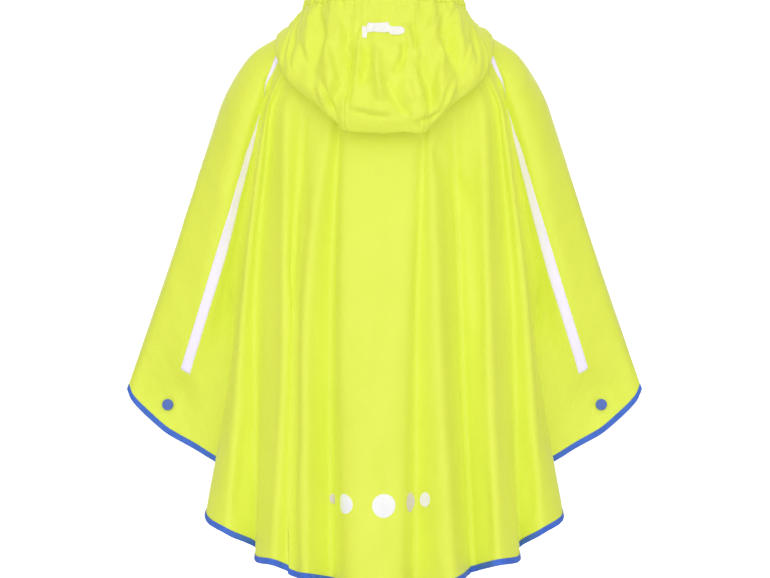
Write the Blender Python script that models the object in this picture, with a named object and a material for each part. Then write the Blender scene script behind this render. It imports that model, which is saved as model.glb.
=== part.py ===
"""A child's rain poncho with its hood down, held out as it is when worn.

Metres, +Z up. The back of the garment faces -Y and its left wing, seen from behind, points to -X.
The origin is the middle of the neck opening at shoulder height. Every piece of cloth is a wall
built on the smooth surface that the fold tables below describe: a row is a fold, and its columns
are the places that the fold passes on its way from the neck to the hem.
"""
import math

import bpy
import numpy as np

MM = 0.001

# Walls and gaps.
CLOTH = 1.5 * MM
TRIM = 0.6 * MM
ELASTIC_WALL = 3.0 * MM
SEAM_GAP = 0.3 * MM
HOOD_SEAM_GAP = 0.45 * MM
TRIM_GAP = 0.6 * MM
HOOD_CLEARANCE = 4.0 * MM

# Neck and shoulders, as rings of the worn garment.
NECK_RING = {"half_width": 86.0, "back": 74.0, "front": 72.0, "side_z": 27.0, "back_z": 20.0, "front_z": 2.0}
SHOULDER_RING = {"half_width": 149.0, "back": 87.0, "front": 82.0, "side_z": -8.0, "back_z": -42.0,
                 "front_z": -48.0}
CHEST_SIDE_Z = -75.0
CHEST_MIDDLE_Z = -95.0
CHEST_HALF_WIDTH = 190.0

# Stations down the length of a fold: neck, shoulder, chest, half way, hem.
STATIONS = (0.0, 0.13, 0.25, 0.62, 1.0)
# Rows of points: stretches down the length, each with its end and its number of rows.
TAPE_TOP = 0.10
TAPE_END = 0.855
STUD_ROW = 0.94
BINDING_ROW = 0.985
ROWS = ((TAPE_TOP, 2), (STATIONS[2], 4), (0.42, 4), (TAPE_END, 4), (STUD_ROW, 1), (BINDING_ROW, 1), (1.0, 1))

# The left wing and the first two body folds of the back, from the wing tip inward, in millimetres.
# angle is where the fold leaves the neck, in degrees from the centre of the back.
# columns: name, angle, chest x y, half-way x y z, hem x y z, steps to the next row
ANGLE, CHEST_X, WAY_X, HEM_X = 1, 2, 4, 7
LEFT_BACK_FOLDS = (
    ("tip", -90, -189.7, 0, -249.5, 0, -261, -295.5, 0, -395.5, 2),
    ("over arm", -77, -184.1, -28, -242.1, -21, -254, -289.5, -8, -408, 2),
    ("wing crest", -65, -162.6, -58, -206.0, -44, -250, -269.5, -12, -429, 1),
    ("tape outer", -60, -147.5, -61, -196.2, -45, -259, -252.0, -10, -444, 1),
    ("tape inner", -56.5, -144.0, -52, -186.7, -42, -263, -242.5, -9, -450, 2),
    ("wing inner", -54, -142.5, -46, -179.0, -31, -276, -209.0, -15, -468, 2),
    ("gully", -51.5, -140.0, -42, -172.0, -22, -292, -166.0, -34, -498, 2),
    ("first flank", -49, -135.5, -58, -163.0, -58, -307, -199.6, -72, -534, 2),
    ("first crest", -46, -129.0, -76, -153.7, -88, -315, -172.1, -110, -550, 2),
    ("second valley", -42, -123.0, -70, -133.4, -78, -326, -136.5, -88, -567, 1),
    ("second flank", -39, -116.0, -79, -122.1, -100, -331, -137.0, -120, -578, 1),
    ("second crest", -35, -108.5, -87, -110.2, -118, -334, -119.7, -148, -579, 2),
)
# The folds between the two second crests, left to right.
MIDDLE_BACK_FOLDS = (
    ("third valley", -27, -86.0, -86, -97.6, -110, -336, -101.2, -126, -587, 1),
    ("third flank", -23, -75.0, -90, -89.4, -120, -338, -97.5, -144, -592, 1),
    ("third crest", -18.5, -61.0, -96, -80.5, -134, -340, -87.0, -163, -592, 2),
    ("fourth valley", -15, -50.0, -93, -55.5, -126, -343, -57.0, -138, -600, 1),
    ("panel left", -11.5, -41.0, -98, -44.2, -146, -344, -37.0, -172, -600, 2),
    ("panel middle", -1.5, -5.5, -100, -11.8, -152, -346, -9.0, -179, -601, 2),
    ("panel right", 8, 28.6, -98, 19.4, -146, -344, 15.5, -171, -601, 1),
    ("fifth valley", 11, 38.0, -94, 28.3, -130, -343, 26.5, -141, -603, 1),
    ("fifth crest", 14, 47.0, -97, 50.0, -142, -340, 64.0, -169, -597, 2),
    ("sixth valley", 22, 72.0, -89, 81.0, -112, -338, 94.0, -128, -590, 1),
)
# How much further out the second valley and flank reach at the hem on the right.
RIGHT_STEP_OUT = 7.0
# The hidden front hangs plainer, in the same columns.
LEFT_FRONT_FOLDS = (
    ("tip", -90, -189.7, 0, -249.5, 0, -261, -295.5, 0, -395.5, 2),
    ("over arm", -77, -184.1, 26, -242.1, 20, -254, -289.5, 8, -408, 2),
    ("wing crest", -64, -162.6, 54, -206.0, 43, -250, -269.5, 12, -429, 2),
    ("wing inner", -57, -146.0, 50, -183.0, 36, -270, -228.0, 10, -459, 2),
    ("gully", -52, -139.0, 42, -171.0, 22, -292, -170.0, 28, -496, 2),
    ("first flank", -48.5, -133.0, 56, -161.0, 54, -307, -190.0, 64, -530, 1),
    ("first crest", -45, -125.0, 70, -149.0, 84, -315, -166.0, 102, -546, 2),
    ("second valley", -38, -106.0, 76, -120.0, 88, -326, -131.0, 96, -564, 2),
)
MIDDLE_FRONT_FOLDS = (
    ("left crest", -30, -86.0, 88, -94.0, 120, -335, -104.0, 140, -580, 2),
    ("left valley", -21, -60.0, 86, -66.0, 106, -340, -70.0, 116, -591, 2),
    ("middle crest", -11, -30.0, 94, -31.0, 133, -344, -27.0, 158, -599, 2),
    ("middle valley", -2, -3.0, 93, 2.0, 118, -345, 8.0, 130, -603, 2),
    ("right crest", 8, 24.0, 94, 36.0, 134, -343, 46.0, 156, -598, 2),
    ("right valley", 19, 55.0, 87, 66.0, 104, -340, 80.0, 114, -590, 2),
    ("outer crest", 29, 85.0, 87, 96.0, 122, -335, 106.0, 144, -579, 2),
)

# The wing layers are pressed together round each stud.
STUD_PLACE = (-248.0, -412.6)
STUD_PINCH_REACH = 36.0
STUD_PINCH_DEPTH = 1.1
STUD_DIAMETER = 13.0 * MM
STUD_HEIGHT = 2.2 * MM
STUD_GAP = 0.35 * MM
# Section of a cap, from the middle of its base to the top of its dome.
# columns: share of the radius, share of the height
STUD_PROFILE = ((0.0, 0.0), (0.5, 0.0), (1.0, 0.0), (1.0, 0.27), (0.86, 0.72), (0.5, 0.94), (0.0, 1.0))
STUD_SEARCH_STEP = 0.1
STUD_SEAT_REACH = 7.8 * MM

# Hem binding: folded tape, the height that shows and its own wall.
BINDING_HEIGHT = 4.6 * MM
BINDING_WALL = 0.8 * MM
BINDING_DROP = 1.0 * MM
BINDING_GAP = 0.4 * MM

# Reflective dots, left to right: across the back from the centre along the cloth, diameter.
DOT_HEIGHT = -514.0
DOTS = (
    ("dot_1", -66.0, 18.5),
    ("dot_2", -41.0, 25.0),
    ("dot_3", 0.0, 30.0),
    ("dot_4", 40.0, 25.0),
    ("dot_5", 67.0, 18.5),
)
DOT_SPOKES = 16
DOT_RINGS = 4
# Columns each side of the middle among which the centre line is looked for.
CENTRE_COLUMNS = 4

# The hood, hanging down: places of its cloth round the neck, from the centre front, round the
# left side, to the centre back.  angle is from the centre back, 180 is the centre front.
# columns: angle, rim x y z, band edge x y z, belly x y z, roll x y z, bottom x y z, steps
HOOD_PROFILES = (
    (-180, 0, 80, 14, 0, 84, 4, 0, 87, -2, 0, 88, -8, 0, 85, -12, 2),
    (-150, -44, 72, 22, -47, 78, 9, -52, 83, 2, -56, 84, -5, -56, 80, -9, 2),
    (-120, -77, 43, 41, -83, 47, 22, -92, 51, 12, -99, 51, 3, -98, 47, 0, 3),
    (-90, -84, 0, 58, -92, -2, 38, -102, -6, 24, -115, -8, 15, -118, -8, 10, 3),
    (-75, -82, -24, 61, -91, -27, 39, -106, -43, 14, -120, -56, -5, -122, -59, -13, 3),
    (-62, -77, -44, 63, -86, -50, 39, -103, -72, -2, -114, -88, -34, -112, -90, -42, 3),
    (-48, -66, -62, 64, -72, -70, 40, -87, -95, -14, -98, -109, -52, -95, -107, -62, 3),
    (-33, -49, -76, 65, -54, -84, 40, -63, -112, -24, -70, -125, -72, -67, -120, -84, 3),
    (-20, -31, -82, 66, -35, -90, 41, -41, -119, -30, -47, -133, -92, -45, -127, -106, 3),
    (-8, -12, -84, 66, -14, -93, 41, -17, -124, -34, -19, -136, -94, -18, -129, -110, 3),
)
HOOD_STATIONS = (0.0, 0.06, 0.2, 0.36, 0.50, 0.58, 0.78, 1.0)
# Rows of points from the neck seam, along the panel, round the bottom and up to the band.
TAB_LOW, TAB_HIGH = 0.867, 0.910
HOOD_DOWN = (0.0, 0.06, 0.13, 0.2, 0.28, 0.36, 0.43, 0.5, 0.54, 0.58, 0.65, 0.71, 0.78, TAB_LOW, TAB_HIGH,
             1.0)
# How high the hood stands above its seam before it turns down: angle from the centre back, height.
TURN_ANGLES, TURN_HEIGHTS = (0.0, 60.0, 88.0, 125.0, 180.0), (11.0, 11.0, 5.0, 5.0, 6.0)
TURN_LEAN = 0.12
TUCKS = (0.36, 0.75)
# The right corner of the pouch hangs lower.
RIGHT_CORNER, RIGHT_CORNER_DROP = (15, 25), 3.0
# Samples of the shoulders, from which the hood is kept clear.
YOKE_SPREAD, YOKE_COLUMNS, YOKE_ROWS, YOKE_END = 4.0, 9, 50, 0.35
POUCH_MIDDLE = (0.0, -112.0, -30.0)

# Creases that fan out below the band.  Angles from the centre back, at the band and at the roll.
# columns: angle at the band, angle at the roll, depth (ridge above zero), half width, start, end
HOOD_CREASES = (
    (-53, -56, 3.5, 4.5, 0.55, 1.0),
    (-46, -47, -6.0, 4.0, 0.55, 1.0),
    (-35, -38, 4.0, 4.0, 0.62, 1.0),
    (-27, -40, -4.0, 3.5, 0.62, 1.0),
    (-31, -31, 5.0, 5.0, 0.45, 0.80),
    (-20, -25, -6.0, 3.5, 0.45, 0.85),
    (-20, -15, -4.0, 3.5, 0.48, 0.92),
    (-10, -8, -3.5, 3.5, 0.55, 0.95),
    (-5, -1, 4.5, 4.0, 0.45, 0.95),
    (-1, 11, -5.0, 4.0, 0.45, 0.80),
    (27, 25, -4.5, 3.5, 0.45, 0.90),
    (24, 38, -4.5, 3.5, 0.70, 1.0),
    (31, 31, 5.0, 5.0, 0.45, 0.80),
    (38, 45, -6.0, 4.0, 0.60, 1.0),
    (52, 56, 4.0, 4.5, 0.58, 1.0),
)
# Above 1, so that a crease keeps some of its depth at its end.
CREASE_RUN_OUT = 1.15

# Elastic casing.
GATHERS = 48
GATHER_HEIGHT = 1.6 * MM
GATHER_POINTS = 4
RIM_CALM = 0.6
CASING_ROWS = 3

# The bare tab lies between these angles round the hood.
TAB_ANGLE = 13.0

COLOURS = {
    "cloth": (0.78, 0.88, 0.08),
    "blue": (0.07, 0.13, 0.52),
    "reflective": (0.93, 0.93, 0.91),
    "stud": (0.11, 0.18, 0.58),
}


def smooth(knots, values, places, tight=False):
    """Cubic curve through values at knots, read at places; a tight one never swings past a value."""
    knots = np.asarray(knots, float)
    values = np.asarray(values, float)
    places = np.asarray(places, float)
    gaps = np.diff(knots).reshape((-1,) + (1,) * (values.ndim - 1))
    slopes = np.diff(values, axis=0) / gaps
    tangents = np.concatenate((slopes[:1], slopes[:1], slopes[1:]))[: len(values)]
    tangents[-1] = slopes[-1]
    before, after = slopes[:-1], slopes[1:]
    if tight:
        gentler = np.where(np.abs(before) < np.abs(after), before, after)
        tangents[1:-1] = np.where(before * after > 0, gentler, 0.0)
    else:
        tangents[1:-1] = (before * gaps[1:] + after * gaps[:-1]) / (gaps[1:] + gaps[:-1])
    span = np.clip(np.searchsorted(knots, places, side="right") - 1, 0, len(knots) - 2)
    gap = gaps[span]
    part = ((places - knots[span]).reshape(gap.shape)) / gap
    ahead = part * part * (3 - 2 * part)
    return (values[span] * (1 - ahead) + values[span + 1] * ahead
            + tangents[span] * gap * part * (1 - part) ** 2
            - tangents[span + 1] * gap * part * part * (1 - part))


def mirrored(rows):
    """The rows of the other side: x and angle change sign, and the order turns round."""
    flipped = []
    for here, step_from in zip(rows[::-1], rows[-2::-1] + rows[:1]):
        values = list(here)
        for column in (ANGLE, CHEST_X, WAY_X, HEM_X):
            values[column] = -here[column]
        values[-1] = step_from[-1]
        flipped.append(tuple(values))
    return tuple(flipped)


def along_line(points, knots, places):
    """Points read off the straight stretches between the given ones."""
    return np.stack([np.interp(places, knots, points[:, axis]) for axis in range(3)], axis=1)


def ring_point(ring, angle, facing):
    """A point of a yoke ring, angle degrees from the middle of the back (-1) or front (+1)."""
    swing = math.radians(angle)
    depth, low = (ring["back"], ring["back_z"]) if facing < 0 else (ring["front"], ring["front_z"])
    side = math.sin(swing) ** 2
    return (ring["half_width"] * math.sin(swing), facing * depth * math.cos(swing),
            low + (ring["side_z"] - low) * side)


class Drape:
    """The smooth surface of one panel: u runs across the folds, v from the neck to the hem."""

    def __init__(self, folds, facing):
        self.facing = facing
        stations = []
        for _, angle, chest_x, chest_y, way_x, way_y, way_z, hem_x, hem_y, hem_z, _ in folds:
            rise = (CHEST_SIDE_Z - CHEST_MIDDLE_Z) * (chest_x / CHEST_HALF_WIDTH) ** 2
            stations.append((
                ring_point(NECK_RING, angle, facing),
                ring_point(SHOULDER_RING, angle, facing),
                (chest_x, chest_y, CHEST_MIDDLE_Z + rise),
                (way_x, way_y, way_z),
                (hem_x, hem_y, hem_z),
            ))
        self.stations = np.array(stations, float) * MM
        self.angles = [fold[1] for fold in folds]
        self.steps = [fold[-1] for fold in folds[:-1]]
        chords = np.linalg.norm(np.diff(self.stations[:, 2:], axis=0), axis=2).mean(axis=1)
        self.knots = np.concatenate(([0.0], np.cumsum(np.sqrt(chords))))

    def across(self, fineness=1):
        """Places across the folds, with every fold's own row among them."""
        places = [self.knots[0]]
        for index, steps in enumerate(self.steps):
            places.extend(np.linspace(self.knots[index], self.knots[index + 1], steps * fineness + 1)[1:])
        return np.array(places)

    def down(self, fineness=1):
        """Places from the neck to the hem, closer together over the shoulders."""
        places = [0.0]
        for end, rows in ROWS:
            places.extend(np.linspace(places[-1], end, rows * fineness + 1)[1:])
        return np.array(places)

    def points(self, across, down):
        """Grid of points, with the wing layers drawn together round the studs."""
        folds = np.swapaxes(smooth(self.knots, self.stations, across), 0, 1)
        grid = smooth(STATIONS, folds, down, tight=True)
        grid = np.swapaxes(grid, 0, 1)
        for side in (-1, 1):
            near = np.hypot(grid[..., 0] + side * STUD_PLACE[0] * MM, grid[..., 2] - STUD_PLACE[1] * MM)
            pull = 1 / (1 + (near / (STUD_PINCH_REACH * MM)) ** 6)
            grid[..., 1] += (self.facing * STUD_PINCH_DEPTH * MM - grid[..., 1]) * pull
        return grid

    def at_angle(self, angle):
        """The place across the folds of an angle round the neck."""
        return float(np.interp(angle, self.angles, self.knots))


def normals_of(grid):
    """Unit normals of a grid of points, each halfway between those of the facets that meet there."""
    facets = np.cross(grid[1:, 1:] - grid[:-1, :-1], grid[:-1, 1:] - grid[1:, :-1])
    facets /= np.linalg.norm(facets, axis=2, keepdims=True)
    normals = np.zeros_like(grid)
    for corner in ((slice(None, -1), slice(None, -1)), (slice(1, None), slice(None, -1)),
                   (slice(None, -1), slice(1, None)), (slice(1, None), slice(1, None))):
        normals[corner] += facets
    return normals / np.linalg.norm(normals, axis=2, keepdims=True)


def make_material(name, colour, roughness, metallic=0.0):
    """A Principled material in one colour."""
    material = bpy.data.materials.new(name)
    material.use_nodes = True
    shader = material.node_tree.nodes["Principled BSDF"]
    shader.inputs["Base Color"].default_value = (*colour, 1.0)
    shader.inputs["Roughness"].default_value = roughness
    shader.inputs["Metallic"].default_value = metallic
    return material


def add_solid(collection, name, vertices, faces, material):
    """One named closed solid, shaded smooth but for its sharp edges."""
    mesh = bpy.data.meshes.new(name)
    mesh.from_pydata([tuple(map(float, vertex)) for vertex in vertices], [], faces)
    mesh.validate()
    mesh.materials.append(material)
    mesh.shade_smooth()
    mesh.set_sharp_from_angle(angle=math.radians(50))
    solid = bpy.data.objects.new(name, mesh)
    collection.objects.link(solid)
    return solid


def wall(collection, name, grid, normals, low, high, material, closed=False):
    """A wall between two offsets of a grid of points: two skins and the edges that join them."""
    columns, rows = grid.shape[:2]
    outer = (grid + normals * high).reshape(-1, 3)
    inner = (grid + normals * low).reshape(-1, 3)
    count = columns * rows
    last = columns if closed else columns - 1
    faces = []
    for column in range(last):
        here = column * rows
        there = (column + 1) % columns * rows
        for row in range(rows - 1):
            corner, across = here + row, there + row
            for facet in ((corner, across, across + 1), (corner, across + 1, corner + 1)):
                faces.append(facet)
                faces.append(tuple(count + number for number in facet[::-1]))
        faces.append((here, count + here, count + there, there))
        end, far_end = here + rows - 1, there + rows - 1
        faces.append((end, far_end, count + far_end, count + end))
    if not closed:
        for row in range(rows - 1):
            faces.append((row, row + 1, count + row + 1, count + row))
            far = (columns - 1) * rows + row
            faces.append((far, count + far, count + far + 1, far + 1))
    along = np.diff(grid, axis=0)[:, :-1]
    down = np.diff(grid, axis=1)[:-1]
    if np.sum(np.cross(along, down) * normals[:-1, :-1]) < 0:
        faces = [face[::-1] for face in faces]
    return add_solid(collection, name, np.concatenate((outer, inner)), faces, material)


def panel_shape(drape):
    """Grid and normals of a panel as it is built, parted from the other panel at the wing tips."""
    grid = drape.points(drape.across(), drape.down())
    rise = grid[:, -3] - grid[:, -1]
    grid[:, -2] = grid[:, -1] + rise / np.linalg.norm(rise, axis=1, keepdims=True) * BINDING_HEIGHT
    normals = drape.facing * normals_of(grid)
    for edge in (0, -1):
        grid[edge, :, 1] = drape.facing * SEAM_GAP
        normals[edge, :, 1] = 0.0
        normals[edge] /= np.linalg.norm(normals[edge], axis=1, keepdims=True)
    return grid, normals


def add_binding(collection, name, grid, normals, material):
    """Folded tape round the hem: up one side of the cloth, round its edge and down the other."""
    edge, hem = grid[:, -2], grid[:, -1]
    top, out = normals[:, -2], normals[:, -1]
    up = (edge - hem) / np.linalg.norm(edge - hem, axis=1, keepdims=True)
    reach = CLOTH / 2 + BINDING_GAP
    section = (edge + top * reach, hem + out * reach, hem - up * BINDING_DROP, hem - out * reach,
               edge - top * reach)
    fold = np.stack(section, axis=1)
    away = np.stack((top, out - up, -2 * up, -out - up, -top), axis=1)
    away[:, 1:4] /= np.linalg.norm(away[:, 1:4], axis=2, keepdims=True)
    return wall(collection, name, fold, away, 0.0, BINDING_WALL, material)


def facet_point(grid, normals, column, row):
    """Point and normal on a facet of a built grid, at a fractional column and row."""
    left = min(int(column), grid.shape[0] - 2)
    top = min(int(row), grid.shape[1] - 2)
    across, down = column - left, row - top
    turn = (left + 1, top) if down <= across else (left, top + 1)
    weights = (1 - max(across, down), abs(across - down), min(across, down))
    corners = ((left, top), turn, (left + 1, top + 1))
    point = sum(weight * grid[corner] for weight, corner in zip(weights, corners))
    normal = sum(weight * normals[corner] for weight, corner in zip(weights, corners))
    return point, normal / np.linalg.norm(normal)


def row_at_height(grid, column, height):
    """Fractional row where a column of the built panel passes a height."""
    heights = np.array([facet_point(grid, grid, column, row)[0][2] for row in range(grid.shape[1])])
    return float(np.interp(-height, -heights, np.arange(grid.shape[1])))


def add_dot(collection, name, grid, normals, across, diameter, material):
    """A round patch laid on the back, measured along the cloth from the centre line."""
    columns = np.arange(grid.shape[0])
    row = row_at_height(grid, float(len(columns) // 2), DOT_HEIGHT * MM)
    line = np.array([facet_point(grid, normals, column, row)[0] for column in columns])
    lengths = np.concatenate(([0.0], np.cumsum(np.linalg.norm(np.diff(line, axis=0), axis=1))))
    middle = len(columns) // 2
    inner = slice(middle - CENTRE_COLUMNS, middle + CENTRE_COLUMNS + 1)
    start = float(np.interp(0.0, line[inner, 0], lengths[inner])) + across * MM
    place = float(np.interp(start, lengths, columns))
    heart = facet_point(grid, normals, place, row)[0]
    below = facet_point(grid, normals, place, row + 0.5)[0]
    row_height = 2 * np.linalg.norm(below - heart)
    points, directions = [], []
    for ring in range(DOT_RINGS + 1):
        radius = diameter * MM / 2 * ring / DOT_RINGS
        for spoke in range(DOT_SPOKES):
            turn = 2 * math.pi * spoke / DOT_SPOKES
            column = float(np.interp(start + radius * math.cos(turn), lengths, columns))
            place = facet_point(grid, normals, column, row + radius * math.sin(turn) / row_height)
            points.append(place[0])
            directions.append(place[1])
    shape = (DOT_RINGS + 1, DOT_SPOKES, 3)
    patch = np.array(points).reshape(shape)
    directions = np.array(directions).reshape(shape)
    low, high = TRIM_GAP + CLOTH / 2, TRIM_GAP + CLOTH / 2 + TRIM
    return add_patch(collection, name, patch, directions, low, high, material)


def add_patch(collection, name, rings, normals, low, high, material):
    """A closed round patch from rings of points, the first of them all at the middle."""
    count, spokes = rings.shape[:2]
    skins = []
    for offset in (high, low):
        skin = [rings[0, 0] + normals[0, 0] * offset]
        skin.extend((rings[1:] + normals[1:] * offset).reshape(-1, 3))
        skins.append(skin)
    size = len(skins[0])
    faces = []
    for spoke in range(spokes):
        after = (spoke + 1) % spokes
        faces.append((0, 1 + spoke, 1 + after))
        faces.append((size, size + 1 + after, size + 1 + spoke))
        for ring in range(count - 2):
            inner, outer = 1 + ring * spokes, 1 + (ring + 1) * spokes
            faces.append((inner + spoke, outer + spoke, outer + after, inner + after))
            faces.append((size + inner + spoke, size + inner + after, size + outer + after,
                          size + outer + spoke))
        edge = 1 + (count - 2) * spokes
        faces.append((edge + spoke, size + edge + spoke, size + edge + after, edge + after))
    first = np.array(skins[0])
    facing = np.cross(first[1] - first[0], first[2] - first[0])
    if np.dot(facing, normals[0, 0]) < 0:
        faces = [face[::-1] for face in faces]
    return add_solid(collection, name, skins[0] + skins[1], faces, material)


def add_stud(collection, name, grid, normals, side, material):
    """A domed press-stud cap seated flat on the cloth outside."""
    target = np.array((-side * STUD_PLACE[0] * MM, STUD_PLACE[1] * MM))
    spots = []
    for column in np.arange(0, grid.shape[0] - 1, STUD_SEARCH_STEP):
        for row in np.arange(grid.shape[1] - 5, grid.shape[1] - 1, STUD_SEARCH_STEP):
            point, normal = facet_point(grid, normals, column, row)
            spots.append((np.hypot(*(point[[0, 2]] - target)), point, normal))
    _, point, normal = min(spots, key=lambda spot: spot[0])
    side_axis = np.cross(normal, (0.0, 0.0, 1.0))
    side_axis /= np.linalg.norm(side_axis)
    up_axis = np.cross(side_axis, normal)
    heights = [np.dot(spot - point, normal) for _, spot, _ in spots
               if np.linalg.norm(spot - point) < STUD_SEAT_REACH]
    seat = point + normal * (CLOTH / 2 + STUD_GAP + max(heights))
    rings = []
    for reach, height in STUD_PROFILE:
        ring = []
        for spoke in range(DOT_SPOKES):
            turn = 2 * math.pi * spoke / DOT_SPOKES
            radius = reach * STUD_DIAMETER / 2
            ring.append(seat + normal * height * STUD_HEIGHT
                        + side_axis * radius * math.cos(turn) + up_axis * radius * math.sin(turn))
        rings.append(ring)
    vertices = [rings[0][0]]
    for ring in rings[1:-1]:
        vertices.extend(ring)
    vertices.append(rings[-1][0])
    top = len(vertices) - 1
    faces = []
    for spoke in range(DOT_SPOKES):
        after = (spoke + 1) % DOT_SPOKES
        faces.append((0, 1 + spoke, 1 + after))
        for ring in range(len(STUD_PROFILE) - 3):
            low, high = 1 + ring * DOT_SPOKES, 1 + (ring + 1) * DOT_SPOKES
            faces.append((low + after, low + spoke, high + spoke, high + after))
        last = 1 + (len(STUD_PROFILE) - 3) * DOT_SPOKES
        faces.append((last + after, last + spoke, top))
    turn = np.dot(np.cross(side_axis, up_axis), normal)
    if turn > 0:
        faces = [face[::-1] for face in faces]
    return add_solid(collection, name, vertices, faces, material)


def hood_rows():
    """The hood's profiles all the way round, from centre front by the left side to centre front."""
    left = [list(profile) for profile in HOOD_PROFILES]
    right = []
    for profile in left[::-1]:
        row = list(profile)
        row[0] = -row[0]
        for column in range(1, 16, 3):
            row[column] = -row[column]
        right.append(row)
    for row in right:
        if RIGHT_CORNER[0] <= row[0] <= RIGHT_CORNER[1]:
            row[12] -= RIGHT_CORNER_DROP
            row[15] -= RIGHT_CORNER_DROP
    steps = [profile[-1] for profile in left[:-1]] + [3] + [profile[-1] for profile in left[-2::-1]]
    return left + right, steps


def clear_of(surface, normals, place, clearance):
    """The place itself, or lifted along the surface's normal until it is clear of the surface."""
    nearest = np.unravel_index(np.argmin(np.linalg.norm(surface - place, axis=2)), surface.shape[:2])
    height = np.dot(place - surface[nearest], normals[nearest])
    return place + normals[nearest] * max(0.0, clearance - height)


def hood_stations(profile, back, front):
    """Places of the hood's cloth at one angle: seam, turn, along the panel, bottom, roll, band, rim."""
    angle = profile[0]
    places = np.array(profile[1:16], float).reshape(5, 3) * MM
    rim, band, belly, roll, bottom = places
    if abs(angle) <= 90:
        drape, own_angle = back, angle
    else:
        drape, own_angle = front, math.copysign(180 - abs(angle), angle)
    seam = np.array(ring_point(NECK_RING, own_angle, drape.facing)) * MM
    rise = float(np.interp(abs(angle), TURN_ANGLES, TURN_HEIGHTS)) * MM
    turn = seam + np.array((0.0, 0.0, rise)) + TURN_LEAN * (band - seam) * (1, 1, 0)
    here = drape.at_angle(own_angle)
    ends = max(0.0, here - YOKE_SPREAD), min(drape.knots[-1], here + YOKE_SPREAD)
    yoke = drape.points(np.linspace(*ends, YOKE_COLUMNS), np.linspace(0, YOKE_END, YOKE_ROWS))
    up_normals = drape.facing * normals_of(yoke)
    tucks = [seam + (bottom - seam) * share for share in TUCKS]
    tucks = [clear_of(yoke, up_normals, tuck, HOOD_CLEARANCE) for tuck in tucks]
    bottom = clear_of(yoke, up_normals, bottom, HOOD_CLEARANCE)
    roll = clear_of(yoke, up_normals, roll, HOOD_CLEARANCE + CLOTH)
    start = seam + (0.0, 0.0, SEAM_GAP + CLOTH / 2)
    return np.array((start, turn, tucks[0], tucks[1], bottom, roll, belly, band))


def hood_shape(back, front):
    """Grid and normals of the whole hood below its band, and the rim and band lines above it."""
    profiles, steps = hood_rows()
    angles = np.array([profile[0] for profile in profiles], float)
    knots = np.arange(len(profiles), dtype=float)
    places = [0.0]
    for index, count in enumerate(steps):
        places.extend(index + np.arange(1, count + 1) / count)
    places = np.array(places)
    stations = np.array([hood_stations(profile, back, front) for profile in profiles])
    rims = np.array([profile[1:4] for profile in profiles], float) * MM
    around = smooth(knots, stations, places)
    rim_line = smooth(knots, rims, places)
    round_angles = smooth(knots, angles, places)
    down = np.array(HOOD_DOWN)
    grid = np.swapaxes(smooth(HOOD_STATIONS, np.swapaxes(around, 0, 1), down), 0, 1)
    settle(grid, back, front)
    normals = normals_of(grid)
    middle = len(places) // 2
    if np.dot(normals[middle, -2], grid[middle, -2] - np.array(POUCH_MIDDLE) * MM) < 0:
        normals = -normals
    for edge in (0, -1):
        normals[edge, :, 0] = 0.0
        normals[edge] /= np.linalg.norm(normals[edge], axis=1, keepdims=True)
    lift = crease_lift(round_angles, down)
    return grid + normals * lift[..., None], normals, rim_line, places, steps


def settle(grid, back, front):
    """Lift the hood's cloth wherever it would sink into the shoulders below it."""
    surfaces, directions = [], []
    for drape in (back, front):
        surface = drape.points(drape.across(2), np.linspace(0, YOKE_END, YOKE_ROWS))
        surfaces.append(surface.reshape(-1, 3))
        directions.append(drape.facing * normals_of(surface).reshape(-1, 3))
    surfaces = np.concatenate(surfaces)
    directions = np.concatenate(directions)
    for column in range(grid.shape[0]):
        for row in range(2, grid.shape[1]):
            place = grid[column, row]
            nearest = np.argmin(np.linalg.norm(surfaces - place, axis=1))
            height = np.dot(place - surfaces[nearest], directions[nearest])
            grid[column, row] += directions[nearest] * max(0.0, HOOD_CLEARANCE - height)


def crease_lift(angles, down):
    """How far the creases raise or sink the hood's cloth, at each angle and share of its length."""
    lift = np.zeros((len(angles), len(down)))
    for at_band, at_roll, depth, half_width, start, end in HOOD_CREASES:
        line = at_roll + (at_band - at_roll) * np.clip((down - 0.5) / 0.5, 0, 1)
        inside = np.clip((down - start) / (end - start), 0, 1)
        fade = np.clip(4 * inside * (CREASE_RUN_OUT - inside), 0, 1)
        lift += depth * MM * np.exp(-((angles[:, None] - line) / half_width) ** 2) * fade
    return lift


def add_elastic(collection, hood, hood_normals, rim_line, places, material):
    """Gathered casing of the face opening: a ring of cloth over elastic, waved in and out.

    Its lowest row stands on the hood's own top edge, a seam's gap above it.
    """
    count = GATHERS * GATHER_POINTS
    lengths = np.concatenate(([0.0], np.cumsum(np.linalg.norm(np.diff(rim_line, axis=0), axis=1))))
    even = np.interp(np.linspace(0, lengths[-1], count + 1)[:-1], lengths, places)
    edge, facing = hood[:, -1], hood_normals[:, -1]
    up = edge - hood[:, -2]
    up -= facing * np.sum(up * facing, axis=1, keepdims=True)
    up /= np.linalg.norm(up, axis=1, keepdims=True)
    low = along_line(edge + up * SEAM_GAP, places, even)
    low_out = along_line(facing, places, even)
    high = smooth(places, rim_line, even)
    shares = np.linspace(0, 1, CASING_ROWS)
    grid = low[:, None] + (high - low)[:, None] * shares[None, :, None]
    out = np.cross(high - low, np.roll(low, -1, axis=0) - np.roll(low, 1, axis=0))
    out *= np.sign(np.sum(out * low_out, axis=1, keepdims=True))
    out /= np.linalg.norm(out, axis=1, keepdims=True)
    normals = np.stack([low_out] + [out] * (CASING_ROWS - 1), axis=1)
    wave = np.sin(2 * math.pi * np.arange(count) / GATHER_POINTS + math.pi / 4)
    depth = GATHER_HEIGHT * wave[:, None] * (1.0 - RIM_CALM * shares[None, :])
    grid = grid + normals * depth[..., None]
    return wall(collection, "hood_elastic", grid, normals, -ELASTIC_WALL / 2, ELASTIC_WALL / 2, material,
                closed=True)


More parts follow.
